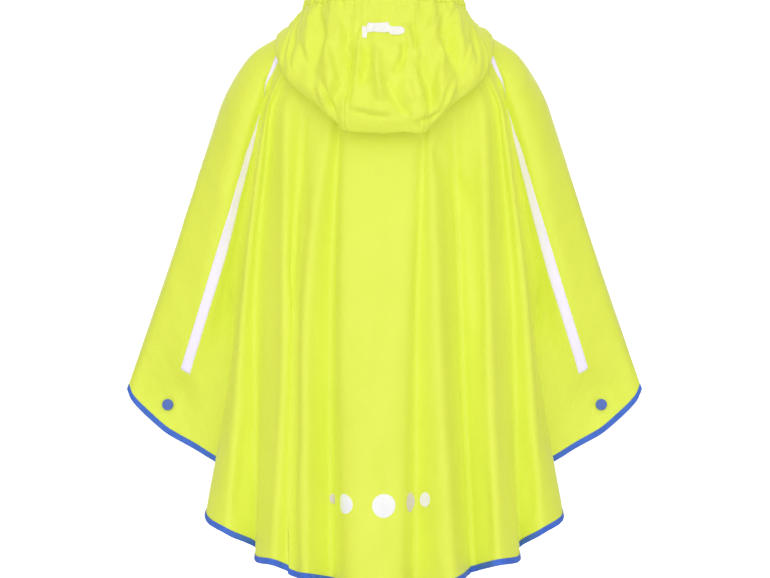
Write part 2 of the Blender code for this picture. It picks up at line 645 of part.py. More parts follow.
def add_hood(collection, back, front, cloth, reflective):
    """The hood's three pieces, its elastic casing and the bare tab."""
    grid, normals, rim_line, places, steps = hood_shape(back, front)
    starts = np.concatenate(([0], np.cumsum(steps)))
    left_seam = int(starts[len(HOOD_PROFILES) - 2])
    right_seam = int(starts[len(HOOD_PROFILES) + 1])
    pieces = {
        "hood_left": (0, left_seam),
        "hood_centre": (left_seam, right_seam),
        "hood_right": (right_seam, len(places) - 1),
    }
    for name, (first, last) in pieces.items():
        part = grid[first:last + 1].copy()
        for edge, inward in ((0, 1), (-1, -2)):
            step = part[inward] - part[edge]
            part[edge] += step / np.linalg.norm(step, axis=1, keepdims=True) * HOOD_SEAM_GAP / 2
        wall(collection, name, part, normals[first:last + 1], -CLOTH / 2, CLOTH / 2, cloth)
    add_elastic(collection, grid, normals, rim_line, places, cloth)
    profiles, _ = hood_rows()
    angles = smooth(np.arange(len(profiles)), np.array([profile[0] for profile in profiles], float), places)
    columns = np.flatnonzero(np.abs(angles) < TAB_ANGLE)
    rows = [HOOD_DOWN.index(TAB_LOW), HOOD_DOWN.index(TAB_HIGH)]
    tab = (slice(columns[0], columns[-1] + 1), slice(rows[0], rows[1] + 1))
    low = CLOTH / 2 + SEAM_GAP
    wall(collection, "hood_tab", grid[tab], normals[tab], low, low + TRIM, reflective)


def add_tape(collection, name, grid, normals, first_column, down, material):
    """Reflective tape on one wing, on the panel's own columns, from TAPE_TOP to TAPE_END."""
    first, last = np.searchsorted(down, (TAPE_TOP - 1e-6, TAPE_END - 1e-6))
    part = (slice(first_column, first_column + 2), slice(first, last + 1))
    low = CLOTH / 2 + SEAM_GAP
    return wall(collection, name, grid[part], normals[part], low, low + TRIM, material)


def built_column(drape, folds, name):
    """Number of the built column that runs down a named fold."""
    index = [fold[0] for fold in folds].index(name)
    return int(sum(drape.steps[:index]))


def build():
    """Clear the scene and make every piece of the poncho."""
    for leftover in list(bpy.data.objects):
        bpy.data.objects.remove(leftover, do_unlink=True)
    collection = bpy.data.collections.new("rain_poncho")
    bpy.context.scene.collection.children.link(collection)
    cloth = make_material("cloth", COLOURS["cloth"], 0.45)
    blue = make_material("binding", COLOURS["blue"], 0.6)
    reflective = make_material("reflective", COLOURS["reflective"], 0.35)
    stud = make_material("stud", COLOURS["stud"], 0.35)

    left = LEFT_BACK_FOLDS
    right = [list(fold) for fold in mirrored(left)]
    for fold in right:
        if fold[0] in ("second valley", "second flank"):
            fold[HEM_X] += RIGHT_STEP_OUT
    middle = MIDDLE_BACK_FOLDS
    back_folds = left + middle + tuple(tuple(fold) for fold in right)
    front_folds = LEFT_FRONT_FOLDS + MIDDLE_FRONT_FOLDS + mirrored(LEFT_FRONT_FOLDS)
    back = Drape(back_folds, -1)
    front = Drape(front_folds, 1)

    back_grid, back_normals = panel_shape(back)
    front_grid, front_normals = panel_shape(front)
    half = CLOTH / 2
    wall(collection, "back_panel", back_grid, back_normals, -half, half, cloth)
    wall(collection, "front_panel", front_grid, front_normals, -half, half, cloth)
    add_binding(collection, "binding_back", back_grid, back_normals, blue)
    add_binding(collection, "binding_front", front_grid, front_normals, blue)

    down = back.down()
    left_tape = built_column(back, back_folds, "tape outer")
    right_tape = back_grid.shape[0] - 2 - left_tape
    add_tape(collection, "tape_left", back_grid, back_normals, left_tape, down, reflective)
    add_tape(collection, "tape_right", back_grid, back_normals, right_tape, down, reflective)
    for name, across, diameter in DOTS:
        add_dot(collection, name, back_grid, back_normals, across, diameter, reflective)
    for side, word in ((-1, "left"), (1, "right")):
        add_stud(collection, "stud_cap_" + word, back_grid, back_normals, side, stud)
        add_stud(collection, "stud_base_" + word, front_grid, front_normals, side, stud)
    add_hood(collection, back, front, cloth, reflective)


build()
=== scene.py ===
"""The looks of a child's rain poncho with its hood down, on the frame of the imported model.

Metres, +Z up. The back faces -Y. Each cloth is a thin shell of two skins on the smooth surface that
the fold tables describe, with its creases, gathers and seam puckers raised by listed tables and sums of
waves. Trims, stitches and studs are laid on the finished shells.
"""

import math

import bpy
import numpy as np
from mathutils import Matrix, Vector, kdtree


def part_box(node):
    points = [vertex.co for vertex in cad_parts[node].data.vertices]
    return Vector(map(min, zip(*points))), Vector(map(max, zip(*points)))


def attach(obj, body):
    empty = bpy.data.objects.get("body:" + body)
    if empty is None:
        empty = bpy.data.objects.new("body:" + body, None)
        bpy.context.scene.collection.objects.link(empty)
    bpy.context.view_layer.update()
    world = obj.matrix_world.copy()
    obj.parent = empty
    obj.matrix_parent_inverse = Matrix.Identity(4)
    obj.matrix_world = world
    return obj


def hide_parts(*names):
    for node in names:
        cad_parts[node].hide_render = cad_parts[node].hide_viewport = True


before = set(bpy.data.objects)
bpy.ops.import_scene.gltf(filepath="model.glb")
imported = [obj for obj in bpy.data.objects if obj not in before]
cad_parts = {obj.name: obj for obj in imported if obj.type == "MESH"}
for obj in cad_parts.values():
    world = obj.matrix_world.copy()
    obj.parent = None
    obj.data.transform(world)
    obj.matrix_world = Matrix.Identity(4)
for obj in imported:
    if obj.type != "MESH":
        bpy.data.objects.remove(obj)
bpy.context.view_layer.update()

MM = 0.001

# ------------------------------------------------------------------ the cut and its folds
NECK_RING = {"half_width": 86.0, "back": 74.0, "front": 72.0, "side_z": 27.0, "back_z": 20.0, "front_z": 2.0}
SHOULDER_RING = {"half_width": 149.0, "back": 87.0, "front": 82.0, "side_z": -8.0, "back_z": -42.0,
                 "front_z": -48.0}
CHEST_SIDE_Z = -75.0
CHEST_MIDDLE_Z = -95.0
CHEST_HALF_WIDTH = 190.0

# Stations down the length of a fold: neck, shoulder, chest, half way, hem.
STATIONS = (0.0, 0.13, 0.25, 0.62, 1.0)
# Shares of the length where the tapes start and end.
TAPE_TOP, TAPE_END = 0.112, 0.855

# The left wing and the first two body folds of the back, from the wing tip inward, in millimetres.
# columns: name, angle from the centre back, chest x y, half-way x y z, hem x y z
ANGLE, CHEST_X, WAY_X, HEM_X = 1, 2, 4, 7
LEFT_BACK_FOLDS = (
    ("tip", -90, -189.7, 0, -249.5, 0, -261, -295.5, 0, -395.5),
    ("over arm", -77, -184.1, -28, -242.1, -21, -254, -289.5, -8, -408),
    ("wing crest", -65, -162.6, -58, -206.0, -44, -250, -269.5, -12, -429),
    ("tape outer", -60, -147.5, -61, -196.2, -45, -259, -252.0, -10, -444),
    ("tape inner", -56.5, -144.0, -52, -186.7, -42, -263, -242.5, -9, -450),
    ("wing inner", -54, -142.5, -46, -179.0, -31, -276, -209.0, -15, -468),
    ("gully", -51.5, -140.0, -42, -172.0, -22, -292, -166.0, -34, -498),
    ("first flank", -49, -135.5, -58, -163.0, -58, -307, -199.6, -72, -534),
    ("first crest", -46, -131.5, -76, -157.5, -88, -315, -173.0, -110, -550),
    ("second valley", -42, -126.5, -70, -144.0, -81, -326, -142.0, -90, -567),
    ("second flank", -39, -119.0, -79, -130.5, -98, -331, -141.0, -119, -578),
    ("second crest", -35, -108.5, -87, -110.2, -118, -334, -119.7, -148, -579),
)
# The folds between the two second crests, left to right.
MIDDLE_BACK_FOLDS = (
    ("third valley", -27, -90.0, -86, -103.5, -111, -336, -104.5, -137, -588),
    ("third flank", -23, -79.0, -90, -96.0, -120, -338, -95.0, -147, -592),
    ("third crest", -18.5, -61.0, -96, -86.5, -134, -340, -84.0, -162, -592),
    ("fourth valley", -15, -50.0, -90, -59.0, -121, -343, -58.0, -133, -600),
    ("panel left", -11.5, -41.5, -98, -46.5, -146, -344, -40.0, -172, -600),
    ("panel middle", -1.5, -5.5, -100, -11.8, -152, -346, -9.0, -179, -601),
    ("panel right", 8, 32.0, -98, 24.0, -146, -344, 19.5, -171, -601),
    ("fifth valley", 11, 43.0, -94, 34.5, -131, -343, 33.5, -143, -603),
    ("fifth crest", 14, 51.5, -97, 59.0, -142, -340, 72.0, -169, -597),
    ("sixth valley", 22, 77.0, -84, 86.5, -102, -338, 98.0, -117, -590),
)
# How much further out the second valley and flank, and the second crest, lie on the right.
RIGHT_STEP_OUT, RIGHT_CREST_OUT = 7.0, 3.5
# The hidden front hangs plainer, in the same columns.
LEFT_FRONT_FOLDS = (
    ("tip", -90, -189.7, 0, -249.5, 0, -261, -295.5, 0, -395.5),
    ("over arm", -77, -184.1, 26, -242.1, 20, -254, -289.5, 8, -408),
    ("wing crest", -64, -162.6, 54, -206.0, 43, -250, -269.5, 12, -429),
    ("wing inner", -57, -146.0, 50, -183.0, 36, -270, -228.0, 10, -459),
    ("gully", -52, -139.0, 42, -171.0, 22, -292, -170.0, 28, -496),
    ("first flank", -48.5, -133.0, 56, -161.0, 54, -307, -190.0, 64, -530),
    ("first crest", -45, -125.0, 70, -149.0, 84, -315, -166.0, 102, -546),
    ("second valley", -38, -106.0, 76, -120.0, 88, -326, -131.0, 96, -564),
)
MIDDLE_FRONT_FOLDS = (
    ("left crest", -30, -86.0, 88, -94.0, 120, -335, -104.0, 140, -580),
    ("left valley", -21, -60.0, 86, -66.0, 106, -340, -70.0, 116, -591),
    ("middle crest", -11, -30.0, 94, -31.0, 133, -344, -27.0, 158, -599),
    ("middle valley", -2, -3.0, 93, 2.0, 118, -345, 8.0, 130, -603),
    ("right crest", 8, 24.0, 94, 36.0, 134, -343, 46.0, 156, -598),
    ("right valley", 19, 55.0, 87, 66.0, 104, -340, 80.0, 114, -590),
    ("outer crest", 29, 85.0, 87, 96.0, 122, -335, 106.0, 144, -579),
)

# The wing layers are pressed together round each stud.
STUD_PLACE = (-248.0, -412.6)
STUD_PINCH_REACH = 36.0
STUD_PINCH_DEPTH = 1.1

# The hood, hanging down: places of its cloth round the neck, from centre front, round the left side,
# to the centre back.
# columns: angle, rim x y z, band edge x y z, belly x y z, roll x y z, bottom x y z
HOOD_PROFILES = (
    (-180, 0, 80, 14, 0, 84, 4, 0, 87, -2, 0, 88, -8, 0, 85, -12),
    (-150, -44, 72, 22, -47, 78, 9, -52, 83, 2, -56, 84, -5, -56, 80, -9),
    (-120, -77, 43, 41, -83, 47, 22, -92, 51, 12, -99, 51, 3, -98, 47, 0),
    (-90, -84, 0, 58, -92, -2, 38, -102, -6, 24, -115, -8, 15, -118, -8, 10),
    (-75, -82, -24, 61, -91, -27, 39, -106, -43, 14, -120, -56, -5, -122, -59, -13),
    (-62, -77, -44, 63, -86, -50, 39, -103, -72, -2, -114, -88, -34, -112, -90, -42),
    (-48, -66, -62, 64, -72, -70, 40, -87, -95, -14, -98, -109, -52, -95, -107, -62),
    (-33, -49, -76, 65, -54, -84, 40, -63, -112, -24, -70, -125, -72, -67, -120, -84),
    (-20, -31, -82, 66, -35, -90, 41, -41, -119, -30, -47, -133, -92, -45, -127, -106),
    (-8, -12, -84, 66, -14, -93, 41, -17, -124, -34, -19, -136, -94, -18, -129, -110),
)
# Shares of the hood's length: seam, turn, two tucks, bottom, roll, belly, band.
HOOD_STATIONS = (0.0, 0.06, 0.2, 0.36, 0.50, 0.58, 0.78, 1.0)
# Where the cloth turns from the inside to the outside, and where the outside's own folds start.
HOOD_BOTTOM, HOOD_OUTSIDE = 0.5, 0.53
# Rows down the hood: share at the start and the end of each stretch, and the number of rows.
HOOD_ROWS = ((0.0, 0.13, 14), (0.13, 0.5, 34), (0.5, 0.62, 18), (0.62, 1.0, 56))
# Columns between two profiles: beside the neck, farther round, and next to the centre front.
SIDE_STEPS, FAR_STEPS, FRONT_STEPS = 13, 17, 15
# The turn above the neck seam: its height at each angle, and its lean towards the band.
TURN_ANGLES, TURN_HEIGHTS = (0.0, 60.0, 88.0, 125.0, 180.0), (11.0, 11.0, 5.0, 5.0, 6.0)
TURN_LEAN = 0.12
# The cloth of the inside, as shares of the way from the seam to the bottom.
TUCKS = (0.36, 0.75)
# Angles of the right corner of the pouch, which hangs lower.
RIGHT_CORNER, RIGHT_CORNER_DROP = (15, 25), 3.0
# The shoulders that the hood is kept clear of: how much of them is looked at, and how closely.
YOKE_SPREAD, YOKE_COLUMNS, YOKE_ROWS, YOKE_END = 4.0, 9, 50, 0.35
YOKE_STEP, SETTLED_FROM = 8 * MM, 0.13
HOOD_CLEARANCE, ROLL_CLEARANCE = 4.0 * MM, 1.5 * MM
POUCH_MIDDLE = (0.0, -112.0, -30.0)

# Main creases that fan out below the hood's band.
# columns: angle at the band, angle at the roll, depth (ridge above zero), half width, start, end
HOOD_CREASES = (
    (-53, -56, 3.5, 4.5, 0.55, 1.0),
    (-46, -47, -6.0, 4.0, 0.55, 1.0),
    (-35, -38, 4.0, 4.0, 0.62, 1.0),
    (-27, -40, -4.0, 3.5, 0.62, 1.0),
    (-31, -31, 5.0, 5.0, 0.45, 0.80),
    (-20, -25, -6.0, 3.5, 0.45, 0.85),
    (-20, -15, -4.0, 3.5, 0.48, 0.92),
    (-10, -8, -3.5, 3.5, 0.55, 0.95),
    (-5, -1, 4.5, 4.0, 0.45, 0.95),
    (-1, 11, -5.0, 4.0, 0.45, 0.80),
    (27, 25, -4.5, 3.5, 0.45, 0.90),
    (24, 38, -4.5, 3.5, 0.70, 1.0),
    (31, 31, 5.0, 5.0, 0.45, 0.80),
    (38, 45, -6.0, 4.0, 0.60, 1.0),
    (52, 56, 4.0, 4.5, 0.58, 1.0),
)
CREASE_RUN_OUT = 1.15
# How strongly each kind of fold shows on the hood.
MAIN_CREASE_SHARE, DRAWN_CREASE_SHARE, CRUMPLE_SHARE, GATHER_SHARE = 0.5, 1.7, 1.5, 1.5

# ------------------------------------------------------------------ walls and gaps as they show
# Half the thickness of the cloth, the gap at a seam, and the start of the hood above the neck seam.
SKIN = 0.25 * MM
SEAM_GAP = 0.3 * MM
HOOD_START = 1.05 * MM
# Columns by which the hood's sides lap its centre strip, and how high they lie there.
SEAM_LAP, LAP_HEIGHT = 2, 0.58 * MM
# The middle of a trim above the cloth, and half its thickness.
TRIM_LIFT = 0.45 * MM
TRIM_SKIN = 0.12 * MM
# How far the edges and ends of tapes, and the edges of dots, are rounded down, and over which share.
EDGE_ROUNDING, END_ROUNDING, EDGE_SHARE, END_SHARE, DOT_EDGE_SHARE = 0.16 * MM, 0.12 * MM, 0.09, 0.004, 0.05
PANEL_STEP = 3.5 * MM
PANEL_ROWS = 165
# Cells each way before a smooth uneven field repeats.
UNEVEN_CELLS = 96
# Threads: pitch, length and radius of the stitches, in mm.
HEM_THREAD, TAPE_THREAD = (3.2, 2.5, 0.20), (3.0, 2.3, 0.16)
HOOD_THREAD, CASING_THREAD = (3.2, 2.3, 0.15), (3.0, 2.2, 0.18)
# The hem's stitches: height above the hem and off the cloth. The casing's: rows, and height off it.
HEM_STITCH_HEIGHT, HEM_STITCH_LIFT = 4.85 * MM, 0.93 * MM
CASING_STITCH_LEVELS, CASING_STITCH_LIFT = (3.0, 13.0), 0.05 * MM
# The hood's seams: their angles, the rows of their stitches, and the columns from seam to stitches.
HOOD_SEAM_ANGLES, HOOD_SEAM_ROWS, HOOD_STITCH_SIDES = (-20, 20), (0.52, 0.995, 120), (0.2, 1.5)
# The label lies on the outside, past this share of the hood's length.
LABEL_FROM = 0.6


# ------------------------------------------------------------------ curves and grids
def smooth(knots, values, places, tight=False):
    """Cubic curve through values at knots, read at places; a tight one never swings past a value."""
    knots = np.asarray(knots, float)
    values = np.asarray(values, float)
    places = np.asarray(places, float)
    gaps = np.diff(knots).reshape((-1,) + (1,) * (values.ndim - 1))
    slopes = np.diff(values, axis=0) / gaps
    tangents = np.concatenate((slopes[:1], slopes[:1], slopes[1:]))[: len(values)]
    tangents[-1] = slopes[-1]
    before, after = slopes[:-1], slopes[1:]
    if tight:
        gentler = np.where(np.abs(before) < np.abs(after), before, after)
        tangents[1:-1] = np.where(before * after > 0, gentler, 0.0)
    else:
        tangents[1:-1] = (before * gaps[1:] + after * gaps[:-1]) / (gaps[1:] + gaps[:-1])
    span = np.clip(np.searchsorted(knots, places, side="right") - 1, 0, len(knots) - 2)
    gap = gaps[span]
    part = ((places - knots[span]).reshape(gap.shape)) / gap
    ahead = part * part * (3 - 2 * part)
    return (values[span] * (1 - ahead) + values[span + 1] * ahead
            + tangents[span] * gap * part * (1 - part) ** 2
            - tangents[span + 1] * gap * part * part * (1 - part))


def eased(value):
    """Soft step from 0 to 1."""
    value = np.clip(value, 0.0, 1.0)
    return value * value * (3 - 2 * value)


def unit(vectors):
    return vectors / np.linalg.norm(vectors, axis=-1, keepdims=True)


def lengths_along(line):
    """Length from the first point of a line to each of its points."""
    return np.concatenate(([0.0], np.cumsum(np.linalg.norm(np.diff(line, axis=0), axis=1))))


def lengths_down(grid):
    """Length from the first row of a grid of points down to each of its points."""
    return np.cumsum(np.linalg.norm(np.diff(grid, axis=1, prepend=grid[:, :1]), axis=2), axis=1)


def normals_of(grid):
    """Unit normals of a grid of points, each halfway between those of the facets that meet there."""
    facets = unit(np.cross(grid[1:, 1:] - grid[:-1, :-1], grid[:-1, 1:] - grid[1:, :-1]))
    normals = np.zeros_like(grid)
    for corner in ((slice(None, -1), slice(None, -1)), (slice(1, None), slice(None, -1)),
                   (slice(None, -1), slice(1, None)), (slice(1, None), slice(1, None))):
        normals[corner] += facets
    return unit(normals)


def square_edges(normals, axis):
    """Take one axis out of the normals of the first and the last column."""
    for edge in (0, -1):
        normals[edge, :, axis] = 0.0
        normals[edge] = unit(normals[edge])


def from_stud(grid, side):
    """How far beside, above and away from a press stud each point of a grid lies."""
    beside = grid[..., 0] + side * STUD_PLACE[0] * MM
    above = grid[..., 2] - STUD_PLACE[1] * MM
    return beside, above, np.hypot(beside, above)


def unevenness(across, down, seed):
    """Smooth field between about -1 and 1, with one bump to each unit across and down."""
    table = np.random.default_rng(seed).uniform(-1, 1, (UNEVEN_CELLS + 1, UNEVEN_CELLS + 1))
    left, top = np.floor(across).astype(int), np.floor(down).astype(int)
    a, b = eased(across - left), eased(down - top)
    near, far = left % UNEVEN_CELLS, (left + 1) % UNEVEN_CELLS
    high, low = top % UNEVEN_CELLS, (top + 1) % UNEVEN_CELLS
    return ((table[near, high] * (1 - a) + table[far, high] * a) * (1 - b)
            + (table[near, low] * (1 - a) + table[far, low] * a) * b)


def mirrored(rows):
    """The rows of the other side: x and angle change sign, and the order turns round."""
    flipped = []
    for row in rows[::-1]:
        values = list(row)
        for column in (ANGLE, CHEST_X, WAY_X, HEM_X):
            values[column] = -row[column]
        flipped.append(tuple(values))
    return tuple(flipped)


def ring_point(ring, angle, facing):
    """A point of a yoke ring, angle degrees from the middle of the back (-1) or front (+1)."""
    swing = math.radians(angle)
    depth, low = (ring["back"], ring["back_z"]) if facing < 0 else (ring["front"], ring["front_z"])
    side = math.sin(swing) ** 2
    return (ring["half_width"] * math.sin(swing), facing * depth * math.cos(swing),
            low + (ring["side_z"] - low) * side)


class Drape:
    """The smooth surface of one panel: across the folds, and down from the neck to the hem."""

    def __init__(self, folds, facing):
        self.facing = facing
        stations = []
        for _, angle, chest_x, chest_y, way_x, way_y, way_z, hem_x, hem_y, hem_z in folds:
            rise = (CHEST_SIDE_Z - CHEST_MIDDLE_Z) * (chest_x / CHEST_HALF_WIDTH) ** 2
            stations.append((
                ring_point(NECK_RING, angle, facing),
                ring_point(SHOULDER_RING, angle, facing),
                (chest_x, chest_y, CHEST_MIDDLE_Z + rise),
                (way_x, way_y, way_z),
                (hem_x, hem_y, hem_z),
            ))
        self.names = [fold[0] for fold in folds]
        self.angles = [fold[1] for fold in folds]
        self.stations = np.array(stations, float) * MM
        self.chords = np.linalg.norm(np.diff(self.stations[:, 2:], axis=0), axis=2).mean(axis=1)
        self.knots = np.concatenate(([0.0], np.cumsum(np.sqrt(self.chords))))

    def across(self, step):
        """Places across the folds, about one step apart, with every fold's own row among them."""
        places = [self.knots[0]]
        for index, chord in enumerate(self.chords):
            count = max(2, math.ceil(chord / step))
            places.extend(np.linspace(self.knots[index], self.knots[index + 1], count + 1)[1:])
        return np.array(places)

    def points(self, across, down):
        """Grid of points, with the wing layers drawn together round the studs."""
        folds = np.swapaxes(smooth(self.knots, self.stations, across), 0, 1)
        grid = np.swapaxes(smooth(STATIONS, folds, down, tight=True), 0, 1)
        for side in (-1, 1):
            near = from_stud(grid, side)[2]
            pull = 1 / (1 + (near / (STUD_PINCH_REACH * MM)) ** 3)
            grid[..., 1] += (self.facing * STUD_PINCH_DEPTH * MM - grid[..., 1]) * pull
        return grid

    def at_angle(self, angle):
        return float(np.interp(angle, self.angles, self.knots))


class Cloth:
    """A finished piece of cloth: its middle surface, outward normals, and lengths along the cloth."""

    def __init__(self, grid, normals):
        self.grid, self.normals = grid, normals
        self.columns, self.rows = grid.shape[:2]
        across = lengths_down(np.swapaxes(grid, 0, 1)).T
        self.across = across - across[self.columns // 2]
        self.down = lengths_down(grid)

    def places(self):
        """Lengths across and down of every point, for the piece's material."""
        return np.stack((self.across, self.down, np.zeros_like(self.down)), axis=-1).reshape(-1, 3)

    def raised(self, lift):
        """The same cloth with its surface moved out along the normals."""
        grid = self.grid + self.normals * lift[..., None]
        normals = normals_of(grid)
        sign = np.sign(np.sum(normals * self.normals, axis=2, keepdims=True))
        return Cloth(grid, normals * sign)

    def read(self, table, column, row):
        """Values of a grid at fractional columns and rows."""
        column = np.clip(np.asarray(column, float), 0, self.columns - 1.0001)
        row = np.clip(np.asarray(row, float), 0, self.rows - 1.0001)
        left, top = column.astype(int), row.astype(int)
        a, b = column - left, row - top
        if table.ndim == 3:
            a, b = a[..., None], b[..., None]
        return ((table[left, top] * (1 - a) + table[left + 1, top] * a) * (1 - b)
                + (table[left, top + 1] * (1 - a) + table[left + 1, top + 1] * a) * b)

    def at(self, column, row):
        """Points and normals at fractional columns and rows."""
        return self.read(self.grid, column, row), unit(self.read(self.normals, column, row))

    def rows_above_hem(self, columns, height):
        """Fractional row of each column, a length above its end."""
        rows = []
        for column in columns:
            line = self.down[int(round(min(column, self.columns - 1)))]
            rows.append(np.interp(line[-1] - height, line, np.arange(self.rows)))
        return np.array(rows)


# ------------------------------------------------------------------ meshes
def make_piece(name, points, faces, material, place=None):
    """A named mesh piece, shaded smooth, with the lengths along its cloth kept for its material."""
    mesh = bpy.data.meshes.new(name)
    mesh.from_pydata(np.asarray(points, float).tolist(), [], [tuple(face) for face in faces])
    if place is not None:
        field = mesh.attributes.new("cloth_place", "FLOAT_VECTOR", "POINT")
        field.data.foreach_set("vector", np.asarray(place, np.float32).ravel())
    mesh.materials.append(material)
    mesh.shade_smooth()
    piece = bpy.data.objects.new(name, mesh)
    bpy.context.scene.collection.objects.link(piece)
    return piece


def sheet_faces(columns, rows, closed=False, rolled=False):
    """Quads of a grid, closed from its last column to its first, rolled up from its last row, or both."""
    column = np.arange(columns if closed else columns - 1)[:, None]
    row = np.arange(rows if rolled else rows - 1)[None, :]
    beside, below = (column + 1) % columns, (row + 1) % rows
    corners = ((column, row), (beside, row), (beside, below), (column, below))
    return np.stack([across * rows + down for across, down in corners], axis=-1).reshape(-1, 4)


def turned_faces(rings, spokes):
    """Faces of a closed round form: a point, rings of points one after another, and an end point."""
    here = np.arange(spokes)
    there = (here + 1) % spokes
    last, end = 1 + (rings - 1) * spokes, 1 + rings * spokes
    faces = [(0, 1 + a, 1 + b) for a, b in zip(here, there)]
    faces += (1 + sheet_faces(rings, spokes, rolled=True)).tolist()
    return faces + [(last + b, last + a, end) for a, b in zip(here, there)]


def shell(name, outer, inner, material, place):
    """Closed thin shell between two grids of points, the outer one on the side that shows."""
    columns, rows = outer.shape[:2]
    count = columns * rows
    corner = np.arange(count).reshape(columns, rows)
    rim = np.concatenate((corner[:-1, 0], corner[-1, :-1], corner[:0:-1, -1], corner[0, :0:-1]))
    after = np.roll(rim, -1)
    skin = sheet_faces(columns, rows)
    faces = np.concatenate((skin, skin[:, ::-1] + count,
                            np.stack((rim, rim + count, after + count, after), axis=-1)))
    a, b = columns // 2, rows // 2
    facing = np.cross(outer[a + 1, b] - outer[a, b], outer[a, b - 1] - outer[a, b])
    if np.dot(facing, outer[a, b] - inner[a, b]) > 0:
        faces = faces[:, ::-1]
    points = np.concatenate((outer.reshape(-1, 3), inner.reshape(-1, 3)))
    return make_piece(name, points, faces.tolist(), material, np.concatenate((place, place)))


def cloth_shell(name, cloth, material, half_wall=SKIN):
    """Both skins of a piece of cloth."""
    wall = cloth.normals * half_wall
    return shell(name, cloth.grid + wall, cloth.grid - wall, material, cloth.places())


STITCH_SPOKES = 6
# Along a stitch: share of its length, share of its radius, rise above the cloth in radii.
STITCH_SECTION = ((0.0, 0.30, -0.9), (0.12, 0.85, -0.1), (0.35, 1.0, 0.45), (0.65, 1.0, 0.45),
                  (0.88, 0.85, -0.1), (1.0, 0.30, -0.9))
# A stitch is pressed a little flat, and the first one starts this share of the pitch down its line.
STITCH_FLATNESS, STITCH_START = 0.8, 0.3


def stitches(name, cloth, columns, rows, lift, thread, material):
    """Stitches of one thread along the line of the given columns and rows of the cloth."""
    pitch, length, radius = (size * MM for size in thread)
    line, _ = cloth.at(columns, rows)
    lengths = lengths_along(line)
    count = int((lengths[-1] - length) / pitch)
    starts = (np.arange(count) + STITCH_START) * pitch
    shares, widths, rises = np.array(STITCH_SECTION).T
    marks = starts[:, None] + shares[None, :] * length
    points, out = cloth.at(np.interp(marks, lengths, columns), np.interp(marks, lengths, rows))
    along = unit(points[:, -1] - points[:, 0])[:, None] * np.ones((1, len(shares), 1))
    side = unit(np.cross(along, out))
    turn = np.linspace(0, 2 * math.pi, STITCH_SPOKES, endpoint=False)
    ring = (np.cos(turn)[None, None, :, None] * side[:, :, None]
            + np.sin(turn)[None, None, :, None] * out[:, :, None] * STITCH_FLATNESS)
    middle = points + out * (rises[None, :, None] * radius + lift)
    body = middle[:, :, None] + ring * widths[None, :, None, None] * radius
    one = len(shares) * STITCH_SPOKES
    faces = sheet_faces(len(shares), STITCH_SPOKES, rolled=True).tolist()
    faces += [range(STITCH_SPOKES), range(one - STITCH_SPOKES, one)[::-1]]
    every = [[corner + number * one for corner in face] for number in range(count) for face in faces]
    place = np.zeros((count, one, 3))
    place[..., 0] = np.repeat(marks, STITCH_SPOKES, axis=1)
    return make_piece(name, body.reshape(-1, 3), every, material, place.reshape(-1, 3))


# ------------------------------------------------------------------ materials
class Graph:
    """Adds and joins shader nodes. A colour is given as red, green and blue."""

    def __init__(self, tree):
        self.tree = tree

    def put(self, target, value):
        """Feed a socket from another one, or set its own value."""
        if isinstance(value, bpy.types.NodeSocket):
            self.tree.links.new(value, target)
        else:
            target.default_value = (*value, 1.0) if target.type == "RGBA" else value

    def add(self, kind, inputs=(), **settings):
        node = self.tree.nodes.new("ShaderNode" + kind)
        for key, value in settings.items():
            setattr(node, key, value)
        for key, value in dict(inputs).items():
            self.put(node.inputs[key], value)
        return node

    def maths(self, operation, first, second=0.5):
        return self.add("Math", {0: first, 1: second}, operation=operation).outputs[0]

    def scaled(self, vector, scale):
        return self.add("VectorMath", {0: vector, "Scale": scale}, operation="SCALE").outputs[0]

    def noise(self, vector, scale, detail, **inputs):
        inputs.update(Vector=vector, Scale=scale, Detail=detail)
        return self.add("TexNoise", inputs).outputs["Fac"]

    def between(self, value, low, high, out_low=0.0, out_high=1.0):
        return self.add("MapRange", {"Value": value, "From Min": low, "From Max": high, "To Min": out_low,
                                     "To Max": out_high}).outputs["Result"]

    def blend(self, factor, first, second):
        return self.add("Mix", {0: factor, 6: first, 7: second}, data_type="RGBA").outputs[2]


def group_graph(name, inputs, outputs):
    """A shader node group that reads a place, its graph, and the sockets to read and to fill."""
    tree = bpy.data.node_groups.new(name, "ShaderNodeTree")
    tree.interface.new_socket(name="Place", in_out="INPUT", socket_type="NodeSocketVector")
    for label, value in inputs.items():
        made = tree.interface.new_socket(name=label, in_out="INPUT", socket_type="NodeSocketFloat")
        made.default_value = value
    for label in outputs:
        tree.interface.new_socket(name=label, in_out="OUTPUT", socket_type="NodeSocketFloat")
    return Graph(tree), tree.nodes.new("NodeGroupInput").outputs, tree.nodes.new("NodeGroupOutput").inputs


def plain_weave():
    """Height of a woven ground: threads each way that pass over and under one another."""
    graph, given, result = group_graph("plain weave", {"Threads per metre": 2200.0, "Unevenness": 0.3},
                                       ("Height", "Thread mask"))
    place = graph.scaled(given["Place"], given["Threads per metre"])
    wander = graph.maths("SUBTRACT", graph.noise(place, 0.15, 2.0), 0.5)
    shift = graph.maths("MULTIPLY", wander, given["Unevenness"])
    parts = graph.add("SeparateXYZ", {0: place}).outputs
    warp, weft = (graph.maths("SINE", graph.maths("MULTIPLY", graph.maths("ADD", part, shift), math.pi))
                  for part in (parts[0], parts[1]))
    over = graph.maths("MULTIPLY", warp, weft)
    graph.put(result["Height"], graph.maths("ABSOLUTE", over))
    graph.put(result["Thread mask"], graph.between(over, -1.0, 1.0))
    return graph.tree


